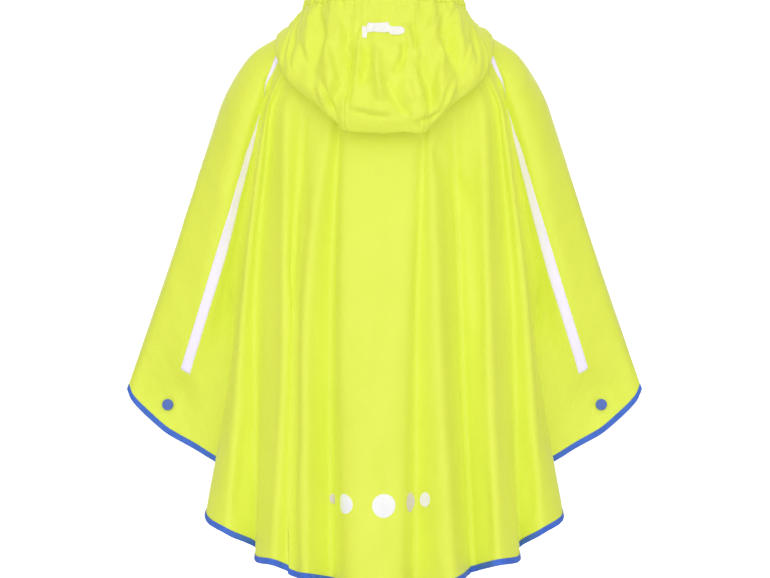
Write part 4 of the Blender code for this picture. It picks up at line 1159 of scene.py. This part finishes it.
def gathered(share_round, from_band):
    """Lift of the cloth where the band draws it in."""
    waves, lengths = gather_lines(share_round)
    lift = -waves.mean() * GATHERS * np.exp(-(from_band / GATHER_MEAN_LENGTH) ** GATHER_FALL)
    for number, length in enumerate(lengths):
        lift += waves[:, number:number + 1] * np.exp(-(from_band / length) ** GATHER_FALL)
    return GATHER_SHARE * lift


# How far the folds may sink and rise on the inside of the hood.
INSIDE_SINK, INSIDE_RISE = 1.2 * MM, 2 * MM


def hood_cloth(back, front):
    """The whole hood, its rim line and share round it, and the angle and share down of its grid."""
    cloth, rim_line, angles, down = hood_surface(back, front)
    share_down = down[None, :]
    outer = eased((share_down - HOOD_BOTTOM) / 0.08)
    first_row = int(np.searchsorted(down, HOOD_OUTSIDE))
    rim_lengths = lengths_along(rim_line)
    share_round = rim_lengths / rim_lengths[-1]
    lift = MAIN_CREASE_SHARE * main_hood_creases(angles, down) + fine_hood_creases(angles, down)
    lift += DRAWN_CREASE_SHARE * crease_lift(cloth, -1, HOOD_DRAWN, 61, first_row)
    lift += CRUMPLE_SHARE * outer * hood_crumple(cloth, 71)
    lift += (1 - outer) * 0.5 * MM * unevenness(cloth.across / 0.03, cloth.down / 0.03, 73)
    lift += gathered(share_round, cloth.down[:, -1:] - cloth.down)
    lift *= eased(cloth.down / (8 * MM))
    room = INSIDE_SINK * np.clip(share_down / HOOD_BOTTOM, 0.12, 1.0)
    lift = np.where(share_down < HOOD_BOTTOM, np.clip(lift, -room, INSIDE_RISE), lift)
    lift[[0, -1]] = 0.5 * (lift[0] + lift[-1])
    return cloth.raised(lift), rim_line, share_round, angles, down


# Section of the casing: share of the way up, offset outward in millimetres, share of the gathers' height.
CASING_SECTION = (
    (0.00, 0.30, 1.00), (0.03, 0.75, 0.95), (0.07, 0.85, 0.75), (0.10, 0.70, 0.55), (0.13, 0.85, 0.75),
    (0.18, 1.30, 1.10), (0.26, 1.60, 1.25), (0.36, 1.80, 1.15), (0.48, 1.85, 1.00), (0.60, 1.80, 1.05),
    (0.70, 1.65, 1.15), (0.78, 1.30, 1.10), (0.84, 0.95, 0.80), (0.87, 0.85, 0.65), (0.90, 1.00, 0.85),
    (0.94, 1.05, 1.10), (0.98, 0.75, 1.25), (1.00, 0.10, 1.30), (0.985, -0.60, 1.10), (0.95, -1.10, 0.90),
    (0.88, -1.20, 0.70), (0.75, -1.50, 0.90), (0.60, -1.70, 0.80), (0.45, -1.70, 0.80), (0.30, -1.50, 0.80),
    (0.15, -1.25, 0.80), (0.04, -1.15, 0.95), (-0.05, -1.05, 1.0), (-0.07, -0.80, 1.0), (-0.04, -0.55, 1.0),
    (0.00, -0.30, 0.95),
)
CASING_COLUMNS = 1008
# The part of the section that shows outside, and two neighbouring points on it.
CASING_OUTSIDE, CASING_SPOT = 17, 9
# Gathered length of the casing's cloth, as a multiple of the length that it is drawn in to.
CASING_FULLNESS = 1.9
# Height of the casing's own small gathers, and of the waves of its free edge.
SMALL_GATHER, EDGE_WAVE = 0.35 * MM, 0.45 * MM


def casing(hood, rim_line, share_round, material):
    """The gathered elastic casing of the face opening, on the hood's own top edge, and its outer skin."""
    even = np.linspace(0, 1, CASING_COLUMNS + 1)[:-1]
    edge, facing = hood.grid[:, -1], hood.normals[:, -1]
    up = edge - hood.grid[:, -2]
    up = unit(up - facing * np.sum(up * facing, axis=1, keepdims=True))

    def read(table):
        return np.stack([np.interp(even, share_round, table[:, axis]) for axis in range(3)], axis=1)

    low, low_out, high = read(edge + up * SEAM_GAP), unit(read(facing)), read(rim_line)
    wave = gather_lines(even)[0].sum(axis=1)
    wave -= wave.mean()
    out = np.cross(high - low, np.roll(low, -1, axis=0) - np.roll(low, 1, axis=0))
    out = unit(out * np.sign(np.sum(out * low_out, axis=1, keepdims=True)))
    turns = 2 * math.pi * even * GATHERS
    small = SMALL_GATHER * np.sin(2 * turns + 2.0 * unevenness(even * 90, even * 0, 91))
    rows = []
    for share, offset, gather in CASING_SECTION:
        direction = unit(low_out * (1 - share) + out * share)
        folds = GATHER_SHARE * wave * (1 - 0.25 * share) + small * min(1, share * 6)
        edge_wave = EDGE_WAVE * np.sin(turns + 1.0) * eased((share - 0.9) / 0.1)
        rows.append(low + (high - low) * share + direction * (offset * MM + gather * folds)[:, None]
                    + unit(high - low) * edge_wave[:, None])
    grid = np.stack(rows, axis=1)
    faces = sheet_faces(*grid.shape[:2], closed=True, rolled=True)
    middle, spot = CASING_COLUMNS // 2, CASING_SPOT
    here = grid[middle, spot]
    facing_out = np.cross(grid[middle + 1, spot] - here, grid[middle, spot + 1] - here)
    if np.dot(facing_out, out[middle]) < 0:
        faces = faces[:, ::-1]
    place = np.zeros(grid.shape)
    place[..., 0] = even[:, None] * lengths_along(rim_line)[-1] * CASING_FULLNESS
    place[..., 1] = lengths_down(grid)
    piece = make_piece("hood_elastic_casing", grid.reshape(-1, 3), faces.tolist(), material,
                       place.reshape(-1, 3))
    ring = np.concatenate((grid, grid[:1]))[:, :CASING_OUTSIDE]
    ring_out = np.repeat(np.concatenate((out, out[:1]))[:, None], CASING_OUTSIDE, axis=1)
    return piece, Cloth(ring, ring_out)


# ------------------------------------------------------------------ trims
# Section of the folded hem tape: side offset and height above the hem, in millimetres.
BINDING_SECTION = (
    (0.36, 6.1), (0.62, 6.2), (0.88, 6.0), (0.98, 5.2), (0.90, 4.4), (1.00, 3.2), (1.06, 1.6), (0.94, 0.2),
    (0.55, -0.55), (0.0, -0.85), (-0.55, -0.55), (-0.94, 0.2), (-1.06, 1.6), (-1.00, 3.2), (-0.90, 4.4),
    (-0.98, 5.2), (-0.88, 6.0), (-0.62, 6.2), (-0.36, 6.1), (-0.36, 2.0), (-0.30, 0.4), (0.0, -0.12),
    (0.30, 0.4), (0.36, 2.0),
)
# The points of the section on the outside, which ripple, and two that face each other.
BINDING_OUTSIDE, BINDING_FACING = 9, (3, 15)
BINDING_RIPPLE = 0.10 * MM


def bind_hem(name, cloth, material):
    """Woven tape folded round the hem, built on the cloth's own last rows."""
    columns = np.arange(0, cloth.columns - 1 + 1e-6, 0.5)
    hem, _ = cloth.at(columns, np.full(len(columns), cloth.rows - 1.0))
    above, _ = cloth.at(columns, np.full(len(columns), cloth.rows - 2.5))
    up = unit(above - hem)
    section = []
    for side, height in BINDING_SECTION:
        point, out = cloth.at(columns, cloth.rows_above_hem(columns, max(height, 0.0) * MM))
        section.append(point + up * min(height, 0.0) * MM + out * side * MM)
    grid = np.stack(section, axis=1)
    count = len(BINDING_SECTION)
    lengths = lengths_along(hem)
    ripple = BINDING_RIPPLE * unevenness(lengths / 0.004, np.zeros(len(lengths)), 131)
    outer, inner = BINDING_FACING
    out = unit(grid[:, outer] - grid[:, inner])
    grid[:, :BINDING_OUTSIDE] += out[:, None] * ripple[:, None, None]
    last = (len(columns) - 1) * count
    faces = sheet_faces(len(columns), count, rolled=True).tolist()
    faces += [range(count), range(last, last + count)[::-1]]
    here = grid[1, 5]
    if np.dot(np.cross(grid[2, 5] - here, grid[1, 6] - here), out[1]) < 0:
        faces = [face[::-1] for face in faces]
    place = np.zeros(grid.shape)
    place[..., 0] = lengths[:, None]
    place[..., 1] = lengths_down(grid)
    return make_piece(name, grid.reshape(-1, 3), faces, material, place.reshape(-1, 3))


def hem_stitches(name, cloth, facing_out, material):
    """Thread along the upper edge of the hem tape."""
    columns = np.arange(0.5, cloth.columns - 1.5, 0.5)
    rows = cloth.rows_above_hem(columns, HEM_STITCH_HEIGHT)
    return stitches(name, cloth, columns, rows, HEM_STITCH_LIFT * facing_out, HEM_THREAD, material)


# How a tape shows down its length.
# columns: height z in mm, share of the tape's full width that shows, mm that it has moved inward
TAPE_SHOWN = (
    (0, 0.60, 2.0), (-20, 0.75, 2.5), (-40, 0.75, 2.0), (-54, 0.46, 1.0), (-72, 0.42, 1.0), (-98, 0.46, 1.5),
    (-124, 0.85, 3.0), (-145, 1.0, 3.5), (-200, 1.0, 2.0), (-280, 1.0, -0.5), (-380, 1.0, -3.5),
    (-700, 1.0, -3.5),
)
# Widths of a tape as seen from the back and as laid on the cloth.
TAPE_SEEN, TAPE_LAID = 10.6 * MM, 13.0 * MM
# The tape's rows and columns, the steps inward that are searched for its inner edge, and the rows to
# either side over which its edges are evened out.
TAPE_ROWS, TAPE_COLUMNS, TAPE_SEARCH, TAPE_SOFTENED = 170, 13, (0, 12, 49), 3
TAPE_STITCH_SHARES = (0.09, 0.91)


def tape_edges(cloth, outer_column, inward, rows):
    """Where a tape starts and ends at each row, so that its seen and its laid width stay in bounds."""
    steps = np.linspace(*TAPE_SEARCH)
    columns, levels = np.meshgrid(outer_column + inward * steps, rows, indexing="ij")
    points, _ = cloth.at(columns, levels)
    laid = lengths_down(np.swapaxes(points, 0, 1)).T
    seen = np.abs(points[..., 0] - points[:1, :, 0])
    share = np.maximum.accumulate(np.maximum(seen / TAPE_SEEN, laid / TAPE_LAID), axis=0)
    full = np.array([np.interp(1.0, share[:, row], steps) for row in range(len(rows))])
    heights, shown, inward_by = np.array(TAPE_SHOWN[::-1]).T
    hidden = 1 - np.interp(points[0, :, 2], heights * MM, shown)
    moved = np.interp(points[0, :, 2], heights * MM, inward_by * MM) / (laid[-1] / steps[-1])
    kernel = np.ones(2 * TAPE_SOFTENED + 1) / (2 * TAPE_SOFTENED + 1)
    return [np.convolve(np.pad(edge + moved, TAPE_SOFTENED, mode="edge"), kernel, mode="valid")
            for edge in (full * hidden, full)]


def lay_tape(name, cloth, columns, rows, material):
    """A strip laid on the cloth between two lines of columns, with soft edges."""
    grid, out = cloth.at(columns, rows)
    across, down = (np.linspace(0, 1, count) for count in grid.shape[:2])
    edge, end = np.minimum(across, 1 - across)[:, None], np.minimum(down, 1 - down)[None, :]
    rounding = EDGE_ROUNDING * (1 - eased(edge / EDGE_SHARE)) + END_ROUNDING * (1 - eased(end / END_SHARE))
    high = grid + out * (TRIM_LIFT + TRIM_SKIN - rounding)[..., None]
    low = grid + out * (TRIM_LIFT - TRIM_SKIN)
    return shell(name, high, low, material, Cloth(grid, out).places())


# Reflective dots: place x z on the back, diameter, in millimetres.
DOTS = (
    ("dot_1", -55.2, -509.5, 11.5),
    ("dot_2", -43.0, -511.5, 21.4),
    ("dot_3", -0.7, -513.2, 25.4),
    ("dot_4", 27.6, -511.0, 21.6),
    ("dot_5", 44.2, -508.5, 16.0),
)
# The dots turned away in the folds, which get the copy of the film with painted shade.
SHADED_DOTS = ("dot_1", "dot_4")
DOT_SPOKES = 56
DOT_SHARES = (0.0, 0.12, 0.26, 0.4, 0.54, 0.68, 0.8, 0.9, 0.96, 0.985, 1.0)


def lay_dot(name, cloth, x, z, diameter, material):
    """A round patch pressed on the back, following the cloth."""
    every = np.arange(cloth.columns)
    near, _ = outermost(cloth.grid, -1, x, z)
    row = float(np.interp(-z * MM, -cloth.grid[near, :, 2], np.arange(cloth.rows)))
    line, _ = cloth.at(every, np.full(cloth.columns, row))
    lengths = lengths_along(line)
    beside = slice(near - 3, near + 4)
    order = np.argsort(line[beside, 0])
    start = float(np.interp(x * MM, line[beside, 0][order], lengths[beside][order]))
    spots, _ = cloth.at(np.full(2, np.interp(start, lengths, every)), [row, row + 1.0])
    row_height = float(np.linalg.norm(spots[1] - spots[0]))
    turn = np.linspace(0, 2 * math.pi, DOT_SPOKES, endpoint=False)
    shares = np.array(DOT_SHARES)
    radius = diameter * MM / 2 * shares[:, None]
    aside, below = radius * np.cos(turn), radius * np.sin(turn)
    points, outs = cloth.at(np.interp(start + aside, lengths, every), row + below / row_height)
    rounding = EDGE_ROUNDING * (1 - eased((1 - shares) / DOT_EDGE_SHARE))[:, None, None]
    high = points + outs * (TRIM_LIFT + TRIM_SKIN - rounding)
    low = points + outs * (TRIM_LIFT - TRIM_SKIN)
    place = np.stack((aside, below, np.zeros_like(aside)), axis=-1)

    def there_and_back(top, under):
        """From the middle of the top out to the edge, and below it back to the middle."""
        return [top[0, 0], *top[1:].reshape(-1, 3), *under[:0:-1].reshape(-1, 3), under[0, 0]]

    vertices = there_and_back(high, low)
    faces = turned_faces(2 * (len(shares) - 1), DOT_SPOKES)
    if np.dot(np.cross(vertices[1] - vertices[0], vertices[2] - vertices[0]), outs[0, 0]) < 0:
        faces = [face[::-1] for face in faces]
    return make_piece(name, vertices, faces, material, there_and_back(place, place))


# The hood's label, folded over itself: place x, top z, bottom z, and height above the cloth, in mm.
LABEL_SHAPE = (
    (-24.6, 8.6, -4.6, 0.5), (-22.0, 8.4, -5.4, 0.8), (-19.6, 8.2, -5.2, 0.6), (-18.9, 10.8, 0.2, 1.9),
    (-17.6, 12.0, 0.6, 2.1), (-12.0, 11.2, 1.4, 1.2), (-6.0, 11.6, 0.8, 0.9), (0.0, 12.2, 0.6, 1.4),
    (4.6, 12.0, 0.8, 2.2), (5.6, 9.4, -0.4, 0.9), (8.0, 7.6, -1.8, 0.5), (13.0, 7.2, -2.4, 1.3),
    (17.5, 8.0, -1.8, 1.7), (20.5, 6.2, -0.4, 1.1), (22.4, 4.4, 1.2, 0.6),
)
LABEL_COLUMNS, LABEL_ROWS = 110, 22
# The label looks for the cloth below it in the back view, with depths made smaller, from this depth.
LABEL_DEPTH_SHARE, LABEL_SEARCH_DEPTH = 0.1, -0.011


def cloth_below(surface, xs, zs):
    """Fractional columns and rows of the cloth that lies behind places of the back view."""
    columns, rows = surface.shape[:2]
    tree = search_tree(surface.reshape(-1, 3) * (1, LABEL_DEPTH_SHARE, 1))
    found = np.zeros((2, *xs.shape))
    for spot in np.ndindex(xs.shape):
        column, row = divmod(tree.find(Vector((xs[spot], LABEL_SEARCH_DEPTH, zs[spot])))[1], rows)
        here = surface[column, row]
        beside = surface[min(column + 1, columns - 1), row] - here
        below = surface[column, min(row + 1, rows - 1)] - here
        change = np.linalg.lstsq(np.array([beside[[0, 2]], below[[0, 2]]]).T,
                                 np.array((xs[spot], zs[spot])) - here[[0, 2]], rcond=None)[0]
        found[(slice(None), *spot)] = (column, row) + np.clip(change, -1, 1)
    return found


def lay_label(name, hood, first_row, material):
    """A soft label sewn on the hood, its ends and one fold standing away from the cloth."""
    shape = np.array(LABEL_SHAPE)
    across = np.linspace(shape[0, 0], shape[-1, 0], LABEL_COLUMNS)[:, None]
    down = np.linspace(0, 1, LABEL_ROWS)[None, :]
    top, bottom, height = (np.interp(across, shape[:, 0], shape[:, axis]) for axis in (1, 2, 3))
    zs = (top + (bottom - top) * down) * MM
    columns, rows = cloth_below(hood.grid[:, first_row:], np.broadcast_to(across * MM, zs.shape), zs)
    grid, facing = hood.at(columns, rows + first_row)
    facing = unit(facing.mean(axis=(0, 1)) + 0.5 * facing)
    lift = 0.5 + height * (0.75 + 0.25 * np.sin(down * 5.0 + across * 0.35))
    lift += 0.30 * unevenness(across / 3.1, down * 2.3, 141)
    lift += 0.16 * unevenness(across / 1.6, down * 4.0, 142)
    return cloth_shell(name, Cloth(grid + facing * lift[..., None] * MM, facing), material, TRIM_SKIN)


# Section of a press-stud cap, from the axis under it to the middle of its top: radius, height, mm.
STUD_SECTION = (
    (0.0, 0.0), (3.0, 0.0), (5.6, 0.0), (6.15, 0.06), (6.42, 0.30), (6.50, 0.62), (6.42, 0.95), (6.15, 1.28),
    (5.70, 1.52), (5.25, 1.60), (4.95, 1.54), (4.75, 1.46), (4.45, 1.50), (3.90, 1.66), (3.0, 1.88),
    (2.0, 2.03), (1.0, 2.11), (0.0, 2.14),
)
STUD_SPOKES = 72
# Thickness of a stud's solid that lies flat. What its box measures more comes from its tilt.
STUD_FLAT = 2.2 * MM


def stud_cap(name, node, facing, material):
    """A turned moulded cap in the place of its solid."""
    low, high = (np.array(corner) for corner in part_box(node))
    base = (low + high) / 2
    base[1] = (high[1] if facing < 0 else low[1]) + facing * (high[1] - low[1] - STUD_FLAT) / 2
    turn = np.linspace(0, 2 * math.pi, STUD_SPOKES, endpoint=False)
    ring = np.stack((np.cos(turn), np.zeros(STUD_SPOKES), np.sin(turn)), axis=1)
    out = np.array((0.0, float(facing), 0.0))
    vertices = [base]
    for radius, height in STUD_SECTION[1:-1]:
        vertices.extend(base + ring * radius * MM + out * height * MM)
    vertices.append(base + out * STUD_SECTION[-1][1] * MM)
    faces = turned_faces(len(STUD_SECTION) - 2, STUD_SPOKES)
    if facing < 0:
        faces = [face[::-1] for face in faces]
    return make_piece(name, vertices, faces, material)


# ------------------------------------------------------------------ camera, floor and light
CAMERA_PLACE, CAMERA_LENS, CAMERA_SENSOR = (0.0006, -2.46, -0.2806), 100.0, 36.0


def make_camera():
    """Camera straight behind the poncho and level with its middle."""
    data = bpy.data.cameras.new("camera")
    data.lens, data.sensor_width = CAMERA_LENS, CAMERA_SENSOR
    data.clip_start, data.clip_end = 0.1, 60.0
    camera = bpy.data.objects.new("camera", data)
    camera.location = CAMERA_PLACE
    camera.rotation_euler = (math.radians(90), 0.0, 0.0)
    bpy.context.scene.collection.objects.link(camera)
    bpy.context.scene.camera = camera


# Strength of the surroundings at eye level and overhead.
AMBIENT = (1.56, 0.94)
# What it is multiplied by away from the camera's side and straight behind the camera.
AMBIENT_BACK_VIEW = (0.80, 1.30)
# What it is multiplied by far to the left and right.
AMBIENT_SIDES = 0.28
# The lamps: name, place, aim, width, power.
LAMPS = (
    ("front", (-0.15, -3.1, -0.15), (0.0, 0.0, -0.28), 3.0, 9.5),
    ("behind", (0.5, 3.0, 0.1), (0.0, 0.0, -0.25), 1.6, 22.0),
)
FLOOR_HALF_WIDTH, FLOOR_HEIGHT = 14.0, -0.86


def lay_floor(material):
    """Pale floor below the hem."""
    mesh = bpy.data.meshes.new("floor")
    corners = [(FLOOR_HALF_WIDTH * x, FLOOR_HALF_WIDTH * y, FLOOR_HEIGHT)
               for x, y in ((-1, -1), (1, -1), (1, 1), (-1, 1))]
    mesh.from_pydata(corners, [], [(0, 1, 2, 3)])
    mesh.materials.append(material)
    floor = bpy.data.objects.new("floor", mesh)
    bpy.context.scene.collection.objects.link(floor)


def surround():
    """White surroundings as the camera sees them, which light the poncho unevenly."""
    world = bpy.data.worlds.new("studio")
    world.use_nodes = True
    graph = Graph(world.node_tree)
    seen = graph.add("LightPath").outputs["Is Camera Ray"]
    x, y, z = graph.add("SeparateXYZ", {0: graph.add("TexCoord").outputs["Generated"]}).outputs
    ambient = graph.maths("MULTIPLY", graph.between(z, 0.0, 1.0, *AMBIENT),
                          graph.between(y, 0.0, -1.0, *AMBIENT_BACK_VIEW))
    aside = graph.between(graph.maths("ABSOLUTE", x), 0.15, 0.95, 1.0, AMBIENT_SIDES)
    sky = world.node_tree.nodes["Background"].inputs
    graph.put(sky["Color"], (1.0, 1.0, 1.0))
    graph.put(sky["Strength"], graph.maths("MAXIMUM", seen, graph.maths("MULTIPLY", ambient, aside)))
    bpy.context.scene.world = world


def hang_lamps():
    """Soft round lamps. Only the one in front is seen in what shines."""
    for name, place, aim, width, power in LAMPS:
        data = bpy.data.lights.new(name, "AREA")
        data.shape, data.size, data.energy = "DISK", width, power
        lamp = bpy.data.objects.new(name, data)
        lamp.location = place
        lamp.visible_glossy = name == "front"
        lamp.rotation_euler = (Vector(aim) - Vector(place)).to_track_quat("-Z", "Y").to_euler()
        bpy.context.scene.collection.objects.link(lamp)


def on_body(piece, slot, *nodes):
    """Fix a piece to the garment, and hide the solids it stands for. The slot is not used."""
    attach(piece, "root")
    if nodes:
        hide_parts(*nodes)
    return piece


def all_back_folds():
    """The folds of the back from wing to wing. A few on the right lie a little further out."""
    right = [list(fold) for fold in mirrored(LEFT_BACK_FOLDS)]
    for fold in right:
        if fold[0] in ("second valley", "second flank"):
            fold[HEM_X] += RIGHT_STEP_OUT
        if fold[0] == "second crest":
            fold[WAY_X] += RIGHT_CREST_OUT
            fold[HEM_X] += RIGHT_CREST_OUT
    return LEFT_BACK_FOLDS + MIDDLE_BACK_FOLDS + tuple(tuple(fold) for fold in right)


def sew_panels(back_cloth, front_cloth, finish):
    """Both panels, then their hem tapes and the thread that holds those."""
    panels = {"back": back_cloth, "front": front_cloth}
    sheets = {}
    for word, cloth in panels.items():
        node = word + "_panel"
        sheets[node] = on_body(cloth_shell(node + "_cloth", cloth, finish["cloth"]), "cloth", node)
    for word, cloth in panels.items():
        node = "binding_" + word
        sheets[node] = on_body(bind_hem("hem_" + node, cloth, finish["binding"]), "binding", node)
        for side, facing_out in (("outside", 1), ("inside", -1)):
            name = "hem_stitches_%s_%s" % (word, side)
            on_body(hem_stitches(name, cloth, facing_out, finish["blue_thread"]), "binding")
    return sheets


def sew_tape(name, cloth, outer_column, inward, finish):
    """A reflective tape down one wing, and the two rows of thread that hold it."""
    rows = np.linspace(TAPE_TOP, TAPE_END, TAPE_ROWS) * (PANEL_ROWS - 1)
    near, far = tape_edges(cloth, outer_column, inward, rows)
    shares = np.linspace(0, 1, TAPE_COLUMNS)[:, None]
    columns = outer_column + inward * (near + (far - near) * shares)
    levels = np.broadcast_to(rows, columns.shape)
    piece = on_body(lay_tape("reflective_" + name, cloth, columns, levels, finish["reflective_tape"]),
                    "reflective", name)
    for number, share in enumerate(TAPE_STITCH_SHARES):
        line = outer_column + inward * (near + (far - near) * share)
        row = stitches("%s_stitches_%d" % (name, number), cloth, line, rows, TRIM_LIFT + TRIM_SKIN,
                       TAPE_THREAD, finish["white_thread"])
        on_body(row, "reflective")
    return piece


def lay_dots(cloth, finish):
    """The row of dots low on the back. The two turned away in the folds get painted shade: a greyer copy of
    the film.
    """
    sheets = {}
    for name, x, z, diameter in DOTS:
        film = finish["dulled_reflective_dots" if name in SHADED_DOTS else "reflective_dots"]
        sheets[name] = on_body(lay_dot("reflective_" + name, cloth, x, z, diameter, film), "reflective", name)
    return sheets


def press_studs(finish):
    """A cap on the back and a base on the front of each wing."""
    for word in ("left", "right"):
        for part, facing in (("cap", -1), ("base", 1)):
            node = "stud_%s_%s" % (part, word)
            on_body(stud_cap("press_" + node, node, facing, finish["stud"]), "stud", node)


def sew_hood(hood, angles, down, finish):
    """The two sides of the hood, lapped over its centre strip, and the thread along their seams."""
    seams = [np.interp(angle, angles, np.arange(len(angles))) for angle in HOOD_SEAM_ANGLES]
    left, right = (int(round(seam)) for seam in seams)
    lapped = np.arange(SEAM_LAP + 2)
    spans = (("hood_left", 0, left + SEAM_LAP, -1 - lapped), ("hood_centre", left, right, ()),
             ("hood_right", right - SEAM_LAP, hood.columns - 1, lapped))
    sheets = {}
    for name, first, last, lap in spans:
        grid, facing = hood.grid[first:last + 1].copy(), hood.normals[first:last + 1]
        if len(lap):
            rise = LAP_HEIGHT * np.minimum(1, (SEAM_LAP + 2 - lapped) / 2)
            grid[lap] += facing[lap] * rise[:, None, None]
        piece = cloth_shell(name + "_cloth", Cloth(grid, facing), finish["cloth"])
        sheets[name] = on_body(piece, "cloth", name)
    rows = np.interp(np.linspace(*HOOD_SEAM_ROWS), down, np.arange(len(down)))
    for seam, word, lap in ((left, "left", 1), (right, "right", -1)):
        for number, side in enumerate(HOOD_STITCH_SIDES):
            line = np.full(len(rows), seam + side * lap)
            row = stitches("hood_seam_stitches_%s_%d" % (word, number), hood, line, rows, SKIN + LAP_HEIGHT,
                           HOOD_THREAD, finish["yellow_thread"])
            on_body(row, "cloth")
    return sheets


def sew_casing(hood, rim_line, share_round, finish):
    """The elastic casing, and a row of thread along each of its edges."""
    elastic, skin = casing(hood, rim_line, share_round, finish["cloth"])
    on_body(elastic, "cloth", "hood_elastic")
    turn = np.arange(0, skin.columns - 1, 1.0)
    for number, level in enumerate(CASING_STITCH_LEVELS):
        row = stitches("casing_stitches_%d" % number, skin, turn, np.full(len(turn), level),
                       CASING_STITCH_LIFT, CASING_THREAD, finish["yellow_thread"])
        on_body(row, "cloth")
    return elastic


def main():
    """Camera, finishes and light, then every piece from the panels to the label."""
    make_camera()
    finish = make_materials()
    lay_floor(finish["floor"])
    surround()
    hang_lamps()
    bpy.context.scene.view_settings.view_transform = "Standard"

    back = Drape(all_back_folds(), -1)
    front = Drape(LEFT_FRONT_FOLDS + MIDDLE_FRONT_FOLDS + mirrored(LEFT_FRONT_FOLDS), 1)
    outer, inner = back.names.index("tape outer"), back.names.index("tape inner")
    tape_folds = (outer, inner, -1 - inner, -1 - outer)
    back_cloth, across = panel_cloth(back, BACK_CREASES, BACK_ACCENTS, 11, back.knots[list(tape_folds)])
    front_cloth, _ = panel_cloth(front, FRONT_CREASES, FRONT_ACCENTS, 12)
    sheets = sew_panels(back_cloth, front_cloth, finish)
    for name, fold, inward in (("tape_left", outer, 1), ("tape_right", -1 - outer, -1)):
        column = np.interp(back.knots[fold], across, np.arange(len(across)))
        sheets[name] = sew_tape(name, back_cloth, column, inward, finish)
    sheets.update(lay_dots(back_cloth, finish))
    press_studs(finish)

    hood, rim_line, share_round, angles, down = hood_cloth(back, front)
    sheets.update(sew_hood(hood, angles, down, finish))
    sheets["hood_elastic"] = sew_casing(hood, rim_line, share_round, finish)
    label = lay_label("bare_label", hood, int(np.searchsorted(down, LABEL_FROM)), finish["label"])
    sheets["hood_tab"] = on_body(label, "reflective", "hood_tab")


main()
